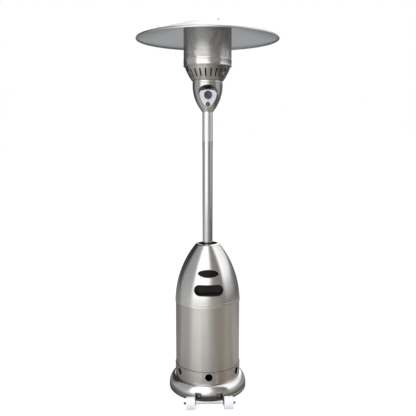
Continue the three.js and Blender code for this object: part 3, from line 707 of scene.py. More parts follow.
def make_post():
    low, high = span("post_flange")
    hub, bore, outer, set_screw_height = 36, POST_HIGH.x + 0.4, POST_HIGH.x, 726
    top = low.z + 6
    flange = [(12, low.z), (high.x, low.z), (high.x, top), (hub + 4, top), (hub, top + 4), (hub, high.z),
              (bore, high.z), (bore, top), (12, top)]
    piece("flange_plate", turned(flange, soften=1.2), DARK_STEEL, "post_flange")
    screw = moved(hex_head(10, 0, 5), turn=ALONG_X, x=hub, z=set_screw_height)
    three_round("flange_set_screws", screw, BRIGHT_FASTENER, 30)
    wall = [(outer - 2, POST_LOW.z), (outer, POST_LOW.z), (outer, POST_HIGH.z), (outer - 2, POST_HIGH.z)]
    piece("post_tube", turned(wall, soften=0.6), POST_STEEL, "main_post")

    half, corner, low, high = 75.0, 5.0, LABEL_LOW.z, LABEL_HIGH.z
    scale = ONE_DEGREE * (outer + 0.9)
    reach = half * scale
    corners = [(-reach, low), (reach, low), (reach, high), (-reach, high)]
    outline = [(x / scale, z) for x, z in softened(corners, corner, steps=8)]
    stepped = []
    for (u0, v0), (u1, v1) in zip(outline, outline[1:] + outline[:1]):
        parts = max(1, int(abs(u1 - u0) / 5))
        stepped += [(u0 + (u1 - u0) * k / parts, v0 + (v1 - v0) * k / parts) for k in range(parts)]
    film = laid_sheet(around(lambda v: outer + 0.8), spaced(-half, half, 30), spaced(low, high, 12), 0.5,
                      scale, outline=stepped)
    piece("label_strip", rounded(film), LABEL_FILM, "blank_label", shaded=True)


# ---------------------------------------------------------------- control housing

def bowl_radius(height):
    drop = BOWL_ARC - math.sqrt(max(0.0, BOWL_ARC ** 2 - (BOWL_ARC_TOP - height) ** 2))
    return BOWL_RADIUS - (drop if height < BOWL_ARC_TOP else 0.0)


def bowl_lean(height):
    """How far the bowl's surface faces down, as a negative angle."""
    return -math.asin(min(1.0, max(0.0, BOWL_ARC_TOP - height) / BOWL_ARC))


def recess_ray(front, back, t):
    """A point on the recess wall, t of the way in from the mouth's plane to the panel."""
    x, z = (a + (b - a) * t for a, b in zip(front, back))
    return x, RECESS_FRONT + (PANEL_FRONT + 3.5 - RECESS_FRONT) * t, z


def recess_mouth(front, back):
    """How far in the recess wall meets the bowl."""
    low, high = 0.0, 1.0
    for _ in range(40):
        t = (low + high) / 2
        x, y, z = recess_ray(front, back, t)
        if math.hypot(x, y) > bowl_radius(z):
            low = t
        else:
            high = t
    return high


def make_control_housing():
    walls = [(f, b, recess_mouth(f, b)) for f, b in zip(shield(7, 31, 4), shield(0.5, 0.5, 0.5))]
    centre = Vector((0, (PANEL_LOW.z + PANEL_HIGH.z) / 2))

    def wall_ring(depth, grow, lift=None):
        """A loop round the recess: depth of the way in from the mouth, or lift above the bowl itself."""
        ring = []
        for f, b, t in walls:
            x, y, z = recess_ray(f, b, t + (1 - t) * depth)
            away = (Vector((x, z)) - centre).normalized() * grow
            x, z = x + away.x, z + away.y
            ring.append((x, y if lift is None else -math.sqrt((bowl_radius(z) + lift) ** 2 - x ** 2), z))
        return ring

    low, high = NECK_TOP, BOWL_HIGH.z - 1
    mouth = [recess_ray(*wall) for wall in walls]
    hole = [(math.degrees(math.atan2(x, -y)), z) for x, y, z in mouth]
    shell = laid_sheet(around(bowl_radius, bowl_lean), spaced(-180, 180, 120), spaced(low, high, 54), 1.6,
                       ONE_DEGREE * BOWL_RADIUS, [hole], joins="itself")
    piece("housing_bowl", rounded(shell, bowl_lean), HEAD_STEEL, "control_housing", shaded=True)

    rings = [wall_ring(0, 1.7, -0.5), wall_ring(0, 1.5, 0.3), wall_ring(0, 0.6, 0.5), wall_ring(0.02, -0.3)]
    rings += [wall_ring(depth, 0) for depth in (0.15, 0.5, 1.0)]
    rings += [wall_ring(depth, 1.2) for depth in (1.0, 0.5, 0.1)]
    # The recess walls take the darker steel, which is painted shade in the recess.
    piece("control_recess", skinned(rings, capped=False), RECESS_SHADE_STEEL)

    edge = BOWL_RADIUS
    rim = [(edge - 6, high - 0.4), (edge - 0.4, high - 0.4), (edge, high), (edge, high + 0.6),
           (edge - 0.5, high + 1), (edge - 6, high + 1)]
    bore, neck_edge = POST_HIGH.x + 0.5, bowl_radius(NECK_TOP)
    neck = [(bore, NECK_TOP - 5), (bore + 3.5, NECK_TOP - 4), (neck_edge, NECK_TOP),
            (neck_edge - 1.6, NECK_TOP + 1), (bore + 2, NECK_TOP + 3), (bore, NECK_TOP + 5)]
    piece("housing_rims", joined(turned(rim, soften=0.4), turned(neck, soften=0.8)), HEAD_STEEL)


def make_panel():
    holes = [ellipse(r, r, z, 32) for r, z in ((10, KNOB_HEIGHT), (9.7, IGNITER_HEIGHT))]

    def place(u, v, depth):
        return u, PANEL_FRONT + depth, v

    across, up = (spaced(low, high, 24) for low, high in zip(PANEL_LOW.xz, PANEL_HIGH.xz))
    plate = laid_sheet(place, across, up, 2.5, holes=holes, outline=shield(-1.2, -1.2, -1.2))
    piece("panel_plate", plate, PANEL_SILVER, "control_panel", crisp=0.5)
    edge = []
    for inset, depth in ((1.4, 2.5), (0.0, 2.5), (0.0, 0.2), (0.7, -0.45), (1.5, -0.3), (2.0, 0.3)):
        edge.append([place(x, z, depth) for x, z in shield(-inset, -inset, -inset)])
    piece("panel_border", skinned(edge, capped=False), PANEL_SILVER)

    reach, squash, marks = 30.0, 0.9, []
    for angle in (-90, -35, 20, 75, 90):
        x, z = reach * math.cos(math.radians(angle)), reach * squash * math.sin(math.radians(angle))
        size = 1.1
        if angle == -90:
            x, z, size = 0.0, -31, 1.6
        dot = turned([(0, 0), (size, 0), (size, 0.25), (0, 0.25)], 20, 0.1)
        marks.append(moved(dot, x=x, y=PANEL_FRONT, z=KNOB_HEIGHT + z, turn=FACING_FRONT))
    piece("dial_marks", joined(*marks), KNOB_PLASTIC, slot=BLACK)


def make_controls():
    radius, back, tip, flutes, steps = 23.0, -KNOB_HIGH.y, -KNOB_LOW.y - 3, 18, 144
    rings = []
    for size, depth, flute in (
            (4, back, 0), (radius - 0.8, back, 0), (radius, back + 0.8, 0), (radius, back + 3, 0),
            (radius - 0.8, back + 4, 0), (radius - 2, back + 4.6, 1.1), (radius - 2.6, tip - 2.6, 1.1),
            (radius - 3.4, tip - 1.0, 0.9), (radius - 5, tip - 0.2, 0.3), (radius - 6, tip, 0),
            (radius - 8, tip - 0.8, 0), (2, tip - 1.4, 0)):
        angles = [2 * math.pi * i / steps for i in range(steps)]
        reach = [size - flute * (0.5 + 0.5 * math.cos(flutes * a)) for a in angles]
        rings.append([(r * math.cos(a), r * math.sin(a), depth) for r, a in zip(reach, angles)])
    half, low, high, bar = 3.5, -radius - 1, -6, []
    for depth, inset in ((tip - 4, 0), (tip + 1.8, 0), (tip + 2.6, 0.4), (tip + 3, 1.2)):
        side = half - inset
        corners = [(-side, low + inset), (side, low + inset), (side, high - inset), (-side, high - inset)]
        bar.append([(x, y, depth) for x, y in softened(corners, 1.6)])
    grip = moved(joined(skinned(rings), skinned(bar)), z=KNOB_HEIGHT, turn=FACING_FRONT)
    piece("knob_grip", grip, KNOB_PLASTIC, "knob", body="knob")

    def igniter_part(name, outline, soften, finish, node, body="stand"):
        outline = [(r, z - PANEL_FRONT) for r, z in outline]
        part = moved(turned(outline, SMALL, soften), z=IGNITER_HEIGHT, turn=FACING_FRONT)
        piece(name, part, finish, node, body=body)

    igniter_part("igniter_socket", [
        (0, -23), (9, -23), (9, 0.3), (10.5, 0.3), (10.5, 1.8), (9, 1.8), (9, 5), (6.2, 5), (6.2, -12),
        (0, -12),
    ], 0.4, BLACK_PLASTIC, "igniter_body")
    igniter_part("igniter_ring", [
        (9.3, 2.1), (12.5, 2.1), (12.5, 4.6), (11.4, 7), (10.4, 8), (9.6, 8), (9.3, 7.4),
    ], 0.7, BLACK_PLASTIC, "igniter_bezel")
    crown = arc((0, 9.5), 5.8, 12, 90, 8, 2.5)[:-1] + [(0, 12)]
    stem = [(0, -7), (4.5, -7), (4.5, 1), (5.8, 1), (5.8, 9.5)]
    igniter_part("igniter_cap", stem + crown, 0.3, BUTTON_STEEL, "igniter_button", "igniter_button")


# ---------------------------------------------------------------- burner head

def cone_radius(height):
    t = (height - CONE_LOW.z) / (CONE_HIGH.z - CONE_LOW.z)
    return CONE_BOTTOM_RADIUS + (CONE_TOP_RADIUS - CONE_BOTTOM_RADIUS) * (t + CONE_BOW * t * (1 - t))


def cone_lean(height):
    return -math.atan(cone_radius(height + 0.5) - cone_radius(height - 0.5))


def perforated_cell(pitch, hole, radius, thick):
    """One six-sided cell of perforated sheet with its round hole, standing at the +X side."""
    outline = arc((0, 0), pitch / math.sqrt(3), 30, 330, 5) + arc((0, 0), hole / 2, 0, 330, 11)
    points = []
    for depth in (0.0, thick):
        points += [(radius - depth, x * (radius - depth) / radius, z) for x, z in outline]
    faces = []
    for i in range(6):
        a, b = i, (i + 1) % 6
        first, middle, last = (6 + (2 * i + k) % 12 for k in (1, 2, 3))
        front = [(a, middle, first), (a, b, middle), (b, last, middle)]
        faces += front + [tuple(18 + k for k in reversed(face)) for face in front]
        faces += [(p, q, 18 + q, 18 + p) for p, q in ((first, middle), (middle, last))]
    uvs = [points[i][1:] for face in faces for i in face]
    return build(points, faces, uvs, merge=False)


def perforated(finish, radius, columns, hole_share, thick, low, high, spare_rows=0, start=None):
    """A tube of perforated sheet between two heights, in the middle of them unless start says where."""
    pitch = 2 * math.pi * radius / columns
    row_rise = pitch * math.sqrt(3) / 2
    rows = int((high - low) / row_rise) + spare_rows
    if start is None:
        start = (low + high - (rows - 1) * row_rise) / 2
    cell = perforated_cell(pitch, pitch * hole_share, radius, thick)
    sheet = ring_of(cell, finish, columns, rows=rows, row_rise=row_rise, row_shift=0.5, weld=0.12)
    return outward(moved(sheet, z=start))


def make_head():
    low, high = span("collar_ring")
    bead = high.x - 1.8
    beads = [(high.x - 3, low.z), (high.x - 0.8, low.z)] + arc((bead, low.z + 2.4), 1.8, -50, 90, 6, 2.2)
    beads += [(bead, high.z - 3.4)] + arc((bead, high.z - 2.2), 1.8, -60, 80, 6, 2.1) + [(high.x - 3, high.z)]
    piece("collar_band", turned(beads), POLISHED, "collar_ring")

    copies, slot_half, slot_low, slot_high = 24, 4.2, 1897.0, 1943.0
    low, high, half = CONE_LOW.z, CONE_HIGH.z, 180 / copies
    scale = ONE_DEGREE * 114
    slot = arc((0, slot_high - slot_half), slot_half, 0, 180, 8)
    slot += arc((0, slot_low + slot_half), slot_half, 180, 360, 8)
    slot = [(x / scale, z) for x, z in slot]
    sector = laid_sheet(around(cone_radius, cone_lean), spaced(-half, half, 6), spaced(low, high, 20), 1.0,
                        scale, [slot], joins="neighbours")
    cone = rounded(outward(ring_of(sector, CONE_STEEL, copies, half, weld=0.02)), cone_lean)
    dull_and_shade_where(piece("cone_shell", cone, CONE_STEEL, "vent_cone", shaded=True))
    # The gauze behind the cone's slots is near-black: painted shade seen through the slots.
    gauze = perforated(DULL_SHADED_INSIDE, 90.0, 64, 0.36, 0.6, low, high - 8, spare_rows=1, start=low + 6)
    piece("air_gauze", gauze, DULL_SHADED_INSIDE, crisp=math.radians(50))
    edge = CONE_BOTTOM_RADIUS - 0.4
    floor = turned([(72, low), (edge, low), (edge, low + 1), (72, low + 1)], soften=0.3)
    piece("cone_floor", floor, CONE_STEEL)

    low, high, outer, ledge = RING_LOW.z, RING_HIGH.z, RING_HIGH.x, 124
    ring = [
        (ledge, low), (outer - 1.5, low), (outer, low + 1.5), (outer, low + 3.4), (outer - 1.4, low + 4.6),
        (outer - 1.4, high - 8), (outer - 0.2, high - 6.6), (outer, high - 4), (outer, high - 1),
        (outer - 0.8, high), (outer - 2.8, high), (outer - 2.8, low + 1.5), (ledge, low + 1.2),
    ]
    piece("emitter_hoop", turned(ring, ROUND, 0.5), RING_STEEL, "emitter_base_ring")
    screw = moved(stud_head(2.6, 2.6, 2.6, 1.9, 12, 78), turn=ALONG_X, x=outer - 1.5, z=low + 20)
    piece("emitter_screws", ring_of(screw, BRIGHT_FASTENER, 6), BRIGHT_FASTENER)


def make_screen():
    edge, low, high = SCREEN_HIGH.x, SCREEN_LOW.z, SCREEN_HIGH.z
    sheet = perforated(SCREEN_STEEL, edge - 0.3, 110, 0.52, 0.9, low + 2, high - 2)
    piece("emitter_mesh", rounded(sheet, least=0.9), SCREEN_STEEL, "emitter_screen", shaded=True)
    hoops = []
    for z0, z1 in ((low - 0.2, low + 7), (high - 7, high + 0.1)):
        hoops.append(turned([(edge - 2.4, z0), (edge, z0), (edge, z1), (edge - 2.4, z1)], ROUND, 0.5))
    piece("screen_hoops", joined(*hoops), RING_STEEL)
    low, high = span("emitter_cap")
    cap = [(0, high.z), (high.x - 1.5, high.z), (high.x, high.z - 1.5), (high.x, low.z), (high.x - 1, low.z),
           (high.x - 1, high.z - 2), (0, high.z - 2)]
    piece("emitter_lid", turned(cap, soften=0.4), SCREEN_STEEL, "emitter_cap")


def make_reflector():
    top, flat, rim, rim_top = DOME_TOP, DOME_FLAT, DOME_RIM, DOME_RIM_TOP
    start = flat + 7
    slope = [(start + (rim - start) * t, top - 2.1 - (DOME_FALL - 2.1) * t) for t in spaced(0, 1, 15)[1:-1]]
    bead = DOME_LOW.z + 3
    outline = [(0, top), (flat - 6, top), (flat, top - 0.3), (start, top - 2.1)] + slope
    outline += [(rim, rim_top), (rim + 3.4, rim_top - 1.6), (rim + 5, rim_top - 4.5), (rim + 6.2, bead + 3)]
    outline += arc((rim + 4, bead), 3, 0, -180, 10)
    outline += [(rim + 2.6, bead + 3), (rim + 2.8, rim_top - 5), (rim - 0.6, rim_top - 1.6)]
    outline += [(r - 0.3, z - 1) for r, z in reversed(slope)]
    outline += [(flat, top - 1.3), (flat - 6, top - 1), (0, top - 1)]
    piece("reflector_dish", turned(outline, ROUND * 2), DOME_ALUMINIUM, "reflector", crisp=math.radians(50))

    bolt_ring, first_bolt, screw_ring, first_screw = 128, -63, 400, 108
    low, high = span("reflector_nut_1")
    nut = moved(acorn(low.z, 11.5, 6, 5, high.z), x=bolt_ring)
    three_round("reflector_nuts", nut, BRIGHT_FASTENER, first_bolt, "reflector_nut")
    low, high = span("reflector_bolt_1")
    bolt = joined(hex_head(9.6, low.z, low.z + 4), pin(3, low.z + 1, high.z))
    three_round("reflector_bolts", moved(bolt, x=bolt_ring), BRIGHT_FASTENER, first_bolt, "reflector_bolt")
    tilt = Matrix.Rotation(math.atan2(DOME_FALL, rim - flat), 4, "Y")
    height = top - DOME_FALL * (screw_ring - flat) / (rim - flat)
    screw = joined(acorn(0.1, 11, 3, 5.2, 7.4), pin(2, -6, 1), hex_head(7, -4.4, -1.2))
    screw = moved(screw, turn=tilt, x=screw_ring, z=height)
    three_round("rim_screws", screw, BRIGHT_FASTENER, first_screw, "rim_screw")


# ---------------------------------------------------------------- bottle housing

def bullet_radius(height):
    rise = max(0.0, height - BULLET_LOW.z)
    return BULLET_RADIUS - (BULLET_ARC - math.sqrt(BULLET_ARC ** 2 - rise ** 2))


def bullet_lean(height):
    return math.asin(min(1.0, max(0.0, height - BULLET_LOW.z) / BULLET_ARC))


def on_bullet(x, z, lift):
    """The point over (x, z) seen from the front that stands lift above the bullet."""
    lean = bullet_lean(z)
    radius = bullet_radius(z) + lift * math.cos(lean)
    return x, -math.sqrt(radius ** 2 - x ** 2), z + lift * math.sin(lean)


def hand_slot(inset):
    """The hand hold's outline in (x, z), made smaller by an inset."""
    middle, half_height = (CUP_LOW.z + CUP_HIGH.z) / 2, (CUP_HIGH.z - CUP_LOW.z) / 2
    return stadium(CUP_HIGH.x - inset, half_height - inset, middle)


def make_bullet():
    hole = [(math.degrees(math.asin(x / bullet_radius(z))), z) for x, z in hand_slot(4.5)]
    shell = laid_sheet(around(bullet_radius, bullet_lean), spaced(-180, 180, 180),
                       spaced(BULLET_LOW.z + 3, BULLET_CURL, 64), 1.0, ONE_DEGREE * BULLET_RADIUS, [hole],
                       joins="itself")
    dull_and_shade_where(piece("bullet_shell", rounded(shell, bullet_lean), SPUN_BULLET, "bullet_cover", body="housing",
                     shaded=True))

    top, mouth = BULLET_HIGH.z, MOUTH_RADIUS
    side, lean = bullet_radius(BULLET_CURL), bullet_lean(BULLET_CURL)
    roll = []
    for angle in spaced(lean, math.pi / 2, 12):
        out, up = math.cos(angle) / math.cos(lean), (math.sin(angle) - math.sin(lean)) / (1 - math.sin(lean))
        roll.append((mouth + (side - mouth) * out, BULLET_CURL + (top - BULLET_CURL) * up))
    under = [(r - 0.7, z - 0.8) for r, z in reversed(roll)][1:]
    outline = roll + [(mouth - 1, top - 0.8), (mouth - 1.2, top - 3), (mouth - 0.2, top - 3)] + under
    piece("bullet_mouth", turned(outline, ROUND), SPUN_BULLET, body="housing")
    hem, low, edge = 24.0, BULLET_LOW.z, BULLET_RADIUS
    foot = [(edge - 1, low), (edge + 0.3, low), (edge + 1.0, low + 1.4), (edge + 0.5, low + 3.0)]
    foot += [(bullet_radius(z) + 0.5, z) for z in spaced(low + 5, low + hem, 5)]
    foot += [(bullet_radius(z) - 0.4, z) for z in (low + hem + 0.8, low + 5)]
    piece("bullet_hem", turned(foot, ROUND, 0.4), SPUN_BULLET, body="housing")


def make_sleeve():
    low, high, outer = SLEEVE_LOW.z, SLEEVE_HIGH.z, SLEEVE_HIGH.x
    wall = [(outer - 1, low + 0.6), (outer - 0.4, low), (outer, low + 0.6)]
    wall += [(outer, z) for z in spaced(low + 3, high - 3, 12)]
    wall += [(outer, high - 0.4), (outer - 0.5, high), (outer - 1, high - 0.4)]
    sleeve = turned(wall, ROUND)
    dull_and_shade_where(piece("sleeve_shell", sleeve, SATIN_SLEEVE, "tank_sleeve", body="housing"))

    def behind(u, v, depth):
        return around(lambda z: outer + 0.9)(u + 180, v, depth)

    half, foot, top, rivets = 3.6, low + 4, high - 8, 8
    corners = [(-half, foot), (half, foot), (half, top), (-half, top)]
    strip = laid_sheet(behind, spaced(-half, half, 6), spaced(foot, top, 20), 0.8, ONE_DEGREE * outer,
                       outline=corners)
    piece("sleeve_seam", rounded(strip), SATIN_SLEEVE, body="housing", shaded=True)
    rivet = moved(stud_head(3, 2.8, 2.6, 1.1, 15, 80), turn=ALONG_X, x=outer + 0.8, z=low + 20)
    heads = ring_of(rivet, SATIN_SLEEVE, 1, 90, rows=rivets, row_rise=(high - low - 50) / (rivets - 1))
    piece("seam_rivets", heads, BRIGHT_FASTENER, body="housing")


def make_handle():
    back = CUP_HIGH.y - 2

    def sunk(inset, depth):
        """A loop depth of the way in from the bullet to the back, or that many millimetres past 1."""
        ring = []
        for x, z in hand_slot(inset):
            skin = on_bullet(x, z, 0)[1]
            ring.append((x, skin + (back - skin) * depth if depth < 1 else back + (depth - 1), z))
        return ring

    rings = []
    for inset, lift in ((0.6, 0.3), (0, 0.9), (0.2, 1.8), (1.2, 2.4), (3.2, 2.5), (5.2, 2.0), (6.4, 0.8)):
        rings.append([on_bullet(x, z, lift) for x, z in hand_slot(inset)])
    for inset, depth in ((7.0, 0.05), (7.2, 0.4), (7.6, 0.85), (9, 1), (12, 1), (12, 3), (6.2, 3), (5.2, 0.9),
                         (5.0, 0.1)):
        rings.append(sunk(inset, depth))
    cup = joined(skinned(rings, capped=False), skinned([sunk(11.5, 1), sunk(11.5, 3)]))
    piece("hand_hold", cup, BLACK_PLASTIC, "handle_cup", body="housing", crisp=math.radians(30))


def make_badge():
    middle, half_height, half_width, steps = (BADGE_LOW.z + BADGE_HIGH.z) / 2, 23.5, BADGE_HIGH.x, 96
    rim = []
    for inset, lift in (
            (0.3, 0.3), (0, 0.9), (0.2, 1.8), (0.8, 2.5), (1.6, 2.6), (2.3, 2.0), (2.6, 1.2), (2.6, 0.3)):
        outline = ellipse(half_width - inset, half_height - inset, middle, steps)
        rim.append([on_bullet(x, z, lift) for x, z in outline])
    piece("badge_frame", skinned(rim, capped=False), BRIGHT_FASTENER, "badge_rim", body="housing")

    def place(u, v, depth):
        crown = 0.9 * max(0.0, 1 - (u / (half_width - 2)) ** 2 - ((v - middle) / (half_height - 2)) ** 2)
        return on_bullet(u, v, 1.0 + crown - depth)

    outline = ellipse(half_width - 2.9, half_height - 2.9, middle, steps)
    face = laid_sheet(place, spaced(-half_width, half_width, 44), spaced(middle - 22, middle + 22, 20), 0.8,
                      outline=outline)
    piece("badge_plate", face, BADGE_BLACK, "badge_face", body="housing")


# ---------------------------------------------------------------- wheels

def wheel_shape():
    """A moulded roller with a crowned tread, a waist line and ribbed ends, on the Z axis."""
    half, radius, bore, ribs = (WHEEL_HIGH.x - WHEEL_LOW.x) / 2, WHEEL_HIGH.z - WHEEL_Z, 4.9, 8
    side = [(bore, half), (11, half), (11, half - 8), (27, half - 8), (28, half - 0.6), (29, half),
            (radius - 2.4, half), (radius - 0.6, half - 2.4), (radius, half - 6), (radius, 1.6)]
    outline = [(r, -z) for r, z in side] + [(radius - 1.4, 0)] + side[::-1]
    parts = [turned(outline, 72, 0.8)]
    rib = softened([(10, -1.1), (28, -1.1), (28, 1.1), (10, 1.1)], 0.3)
    for low in (-half + 0.8, half - 9):
        parts.append(ring_of(plate_between(rib, low, low + 8.2, 0.3), WHEEL_PLASTIC, ribs))
    return joined(*parts)


def saddle(start, end, low, high):
    """A plate bent to the lip of the base, between two distances from the middle."""
    loops = []
    for x in spaced(start, end, 12):
        y = -math.sqrt(SADDLE_RADIUS ** 2 - x ** 2)
        loops.append([(x, y, low + 0.5), (x, y - 2.2, low), (x, y - 2.7, low + 0.5), (x, y - 2.7, high - 0.5),
                      (x, y - 2.2, high), (x, y, high - 0.5)])
    return skinned(loops)


def make_bracket(name, side):
    low, high = span(f"wheel_bracket_{name}")
    outer, thick, root, shoulder, eye = 80.0, 3.0, -213.0, -292, 15.0
    outline = [(root, low.z), (root, high.z - 1), (shoulder, high.z - 1)]
    outline += [(WHEEL_Y + y, WHEEL_Z + z) for y, z in arc((0, 0), eye, 90, 270, 18)] + [(shoulder, low.z)]
    arm = plate_between(outline, -thick / 2, thick / 2, 0.5, centre=(-265, 38))
    bracket = joined(moved(arm, turn=ON_EDGE, x=side * outer), saddle(side * 46, side * outer, 20, 44))
    piece(f"bracket_{name}", bracket, DARK_STEEL, f"wheel_bracket_{name}")
    low, high = span(f"bracket_bolt_{name}")
    middle = (low.x + high.x) / 2
    front = -math.sqrt(SADDLE_RADIUS ** 2 - middle ** 2) - 2.6
    screw = moved(hex_head(9.8, 1.1, 5.0, washer=6.2), turn=FACING_FRONT, x=middle, y=front, z=WHEEL_Z)
    piece(f"bolt_{name}", screw, BRIGHT_FASTENER, f"bracket_bolt_{name}")


def make_wheels():
    for name, side, turn in (("left", -1, ALONG_MINUS_X), ("right", 1, ALONG_X)):
        wheel = f"wheel_{name}"
        low, high = span(wheel)
        roller = moved(wheel_shape(), turn=turn, x=(low.x + high.x) / 2, y=WHEEL_Y, z=WHEEL_Z)
        piece(f"roller_{name}", roller, WHEEL_PLASTIC, wheel, body=wheel)
        make_bracket(name, side)
        low, high = span(f"axle_nut_{name}")
        nut = moved(acorn(0, 14, 6.5, 6, high.x - low.x), turn=turn, x=low.x if side > 0 else high.x,
                    y=WHEEL_Y, z=WHEEL_Z)
        piece(f"end_nut_{name}", nut, DULL_FASTENER, f"axle_nut_{name}")
    half, radius = AXLE_HIGH.x, AXLE_HIGH.z - WHEEL_Z
    rod = [(0, -half), (radius - 0.6, -half), (radius, -half + 0.6), (radius, half - 0.6),
           (radius - 0.6, half), (0, half)]
    axle = moved(turned(rod, SMALL), turn=ALONG_X, y=WHEEL_Y, z=WHEEL_Z)
    piece("axle_bar", axle, BRIGHT_FASTENER, "axle_rod")
    piece("bracket_tie", saddle(-45.6, 45.6, 13, 41), TIE_STEEL)


# ---------------------------------------------------------------- parts inside

INNER_FINISHES = {
    "ballast_ring": CAST_WEIGHT, "inlet_fitting": BRASS, "feed_pipe": BRASS, "outlet_pipe": BRASS,
    "gas_valve": BRASS, "valve_stem": BRASS, "tilt_switch": BLACK_PLASTIC, "burner_tube": BURNT_STEEL,
    "burner_dish": BURNT_STEEL, "pilot_tube": BRIGHT_FASTENER, "thermocouple": BRIGHT_FASTENER,
    "spark_electrode": CERAMIC,
}


def finish_inner_parts():
    for node, finish in INNER_FINISHES.items():
        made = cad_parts[node]
        made.data.materials.clear()
        made.data.materials.append(finish)


# ---------------------------------------------------------------- studio

# What the metal mirrors, by height band: turn from the camera's side in degrees, brightness, warmth.
HIGH_RING = [
    (-180, 1.5, 0.0), (-176, 1.5, 0.0), (-172, 0.04, 0.0), (-118, 0.04, 0.0), (-106, 0.40, 0.0),
    (-60, 0.50, 0.0), (-50, 1.80, 0.0), (0, 1.70, 0.0), (20, 0.34, 0.04), (58, 0.18, 0.06), (65, 1.50, 0.0),
    (105, 1.25, 0.0), (150, 0.90, 0.0), (160, 1.8, 0.0), (180, 1.8, 0.0),
]
LOW_RING = [
    (-180, 0.06, 0.0), (-126, 0.08, 0.0), (-112, 0.46, 0.0), (-64, 0.55, 0.0), (-50, 1.80, 0.0),
    (-8, 1.60, 0.0), (12, 0.40, 0.03), (60, 0.28, 0.05), (70, 0.62, 0.0), (95, 0.50, 0.0), (120, 0.18, 0.0),
    (180, 0.15, 0.0),
]
FAR_FLOOR = [
    (-180, 0.60, -0.03), (-172, 0.60, -0.02), (-164, 0.24, 0.0), (-118, 0.26, 0.0), (-106, 0.50, 0.0),
    (-70, 0.66, 0.02), (-54, 1.02, 0.03), (-14, 0.94, 0.03), (4, 0.54, 0.02), (40, 0.30, 0.03),
    (66, 0.14, 0.05), (150, 0.16, 0.0), (168, 0.60, -0.02), (180, 0.60, -0.03),
]
NEAR_FLOOR = [
    (-180, 0.44, -0.02), (-150, 0.30, -0.02), (-112, 0.36, -0.02), (-100, 0.60, -0.03), (-84, 0.54, -0.02),
    (-66, 0.60, 0.0), (-56, 0.84, 0.0), (-46, 0.84, 0.0), (-41, 0.62, 0.02), (-36, 0.86, 0.02),
    (-24, 0.80, 0.02), (-18, 0.52, 0.04), (-6, 0.56, 0.04), (4, 0.48, 0.04), (14, 0.52, 0.07),
    (24, 0.42, 0.13), (60, 0.42, 0.14), (84, 0.34, 0.14), (98, 0.56, 0.06), (120, 0.50, 0.04),
    (150, 0.44, 0.0), (180, 0.44, -0.02),
]


def ring_light(graph, share, stops):
    ramp = graph.node("ShaderNodeValToRGB", {0: share})
    marks = ramp.color_ramp.elements
    while len(marks) > 1:
        marks.remove(marks[0])
    for i, (angle, light, warmth) in enumerate(stops):
        spot = marks[0] if i == 0 else marks.new(angle / 360 + 0.5)
        spot.position = angle / 360 + 0.5
        spot.color = (light * (1 + warmth), light, light * (1 - warmth), 1)
    return ramp.outputs[0]


def turn_share(graph, place):
    """The turn of a place or direction from the camera's side, as a share of the full circle."""
    axes = graph.node("ShaderNodeSeparateXYZ", {0: place}).outputs
    turn = graph.math("ARCTAN2", axes["X"], graph.math("MULTIPLY", axes["Y"], -1.0))
    return graph.math("ADD", graph.math("DIVIDE", turn, 2 * math.pi), 0.5), axes


def make_surround():
    world = bpy.data.worlds.new("studio")
    bpy.context.scene.world = world
    world.use_nodes = True
    graph = Graph(world.node_tree)
    share, axes = turn_share(graph, graph.node("ShaderNodeTexCoord").outputs["Generated"])
    rise = graph.between(axes["Z"], 0, 1, start=0.13, end=0.24)
    room = graph.blend(rise, ring_light(graph, share, LOW_RING), ring_light(graph, share, HIGH_RING))
    ceiling = graph.between(axes["Z"], 0, 1, start=0.93, end=0.99)
    room = graph.blend(ceiling, room, (1.25, 1.25, 1.25, 1))
    seen = graph.node("ShaderNodeLightPath").outputs["Is Camera Ray"]
    background = graph.tree.nodes["Background"].inputs
    graph.tree.links.new(graph.blend(seen, room, (1.0, 1.0, 1.0, 1)), background["Color"])


def lay_on_floor(name, corners, material):
    mesh = bpy.data.meshes.new(name)
    mesh.from_pydata(corners, [], [tuple(range(len(corners)))])
    mesh.materials.append(material)
    made = bpy.data.objects.new(name, mesh)
    bpy.context.scene.collection.objects.link(made)
    return made


def make_floor():
    """The pale floor, which glows more towards its far edges."""
    material, graph, shader = new_finish("pale_floor", 0.0)
    places = graph.node("ShaderNodeTexCoord").outputs["Object"]
    clouds = graph.between(graph.noise(places, scale=0.4, detail=2), 0, 1)
    tint = graph.blend(clouds, (0.27, 0.27, 0.27, 1), (0.28, 0.28, 0.28, 1))
    reach = graph.node("ShaderNodeVectorMath", {0: places}, operation="LENGTH").outputs["Value"]
    graph.tree.links.new(tint, shader["Base Color"])
    graph.tree.links.new(graph.between(reach, 0.74, 0.95, start=1.2, end=4.0), shader["Emission Strength"])
    shader["Roughness"].default_value = 0.9
    shader["Specular IOR Level"].default_value = 0.0
    shader["Emission Color"].default_value = (1, 1, 1, 1)
    half = 60
    corners = [(-half, -half, 0), (half, -half, 0), (half, half, 0), (-half, half, 0)]
    floor = lay_on_floor("floor", corners, material)
    floor.visible_glossy = False


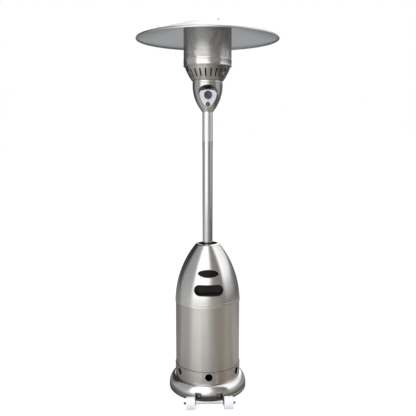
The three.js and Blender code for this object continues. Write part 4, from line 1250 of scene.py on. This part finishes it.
def make_mirrored_floor():
    """What the metal mirrors in place of the pale floor: dim close to the heater, lighter further out."""
    material = bpy.data.materials.new("mirrored_floor")
    material.use_nodes = True
    graph = Graph(material.node_tree)
    graph.tree.nodes.remove(graph.tree.nodes["Principled BSDF"])
    share, axes = turn_share(graph, graph.node("ShaderNodeTexCoord").outputs["Object"])
    squares = [graph.math("MULTIPLY", axes[axis], axes[axis]) for axis in "XY"]
    reach = graph.math("SQRT", graph.math("ADD", *squares))
    close, far = (graph.between(reach, 0, 1, start=a, end=b) for a, b in ((0.24, 0.7), (1.7, 2.6)))
    near = graph.blend(close, (0.07, 0.07, 0.07, 1), ring_light(graph, share, NEAR_FLOOR))
    colour = graph.blend(far, near, ring_light(graph, share, FAR_FLOOR))
    light = graph.node("ShaderNodeEmission", {0: colour})
    graph.tree.links.new(light.outputs[0], graph.tree.nodes["Material Output"].inputs[0])
    radius, depth, sides = 7.0, 0.002, 60
    corners = [(x, y, -depth) for x, y in arc((0, 0), radius, 0, 360 - 360 / sides, sides - 1)]
    made = lay_on_floor("mirrored_floor", corners, material)
    for rays in ("camera", "diffuse", "transmission", "volume_scatter", "shadow"):
        setattr(made, f"visible_{rays}", False)


def soft_light(name, place, aim, size, watts):
    lamp = bpy.data.lights.new(name, "AREA")
    lamp.shape = "RECTANGLE"
    lamp.size, lamp.size_y = size
    lamp.energy = watts
    made = bpy.data.objects.new(name, lamp)
    made.location = place
    made.rotation_euler = (Vector(aim) - Vector(place)).to_track_quat("-Z", "Y").to_euler()
    made.visible_glossy = False
    bpy.context.scene.collection.objects.link(made)


def make_camera():
    camera = bpy.data.cameras.new("camera")
    camera.lens = 48.55
    camera.sensor_width = 36
    camera.clip_end = 200
    camera.shift_x = 0.001
    distance, height, azimuth, pitch = 3.37, 1.565, math.radians(-2.1), math.radians(7.4)
    made = bpy.data.objects.new("camera", camera)
    made.location = (distance * math.sin(azimuth), -distance * math.cos(azimuth), height)
    made.rotation_euler = (math.pi / 2 - pitch, 0, azimuth)
    bpy.context.scene.collection.objects.link(made)
    bpy.context.scene.camera = made


make_camera()
make_base()
make_vent_band()
make_legs()
make_post()
make_control_housing()
make_panel()
make_controls()
make_head()
make_screen()
make_reflector()
make_bullet()
make_sleeve()
make_handle()
make_badge()
make_wheels()
finish_inner_parts()
make_floor()
make_mirrored_floor()
make_surround()
soft_light("overhead", (0, -1.0, 5.5), (0, 0, 0), (7, 7), 260)
soft_light("front_left", (-2.6, -3.2, 2.6), (0, 0, 1.1), (2.2, 2.6), 60)
bpy.context.scene.view_settings.view_transform = "Standard"
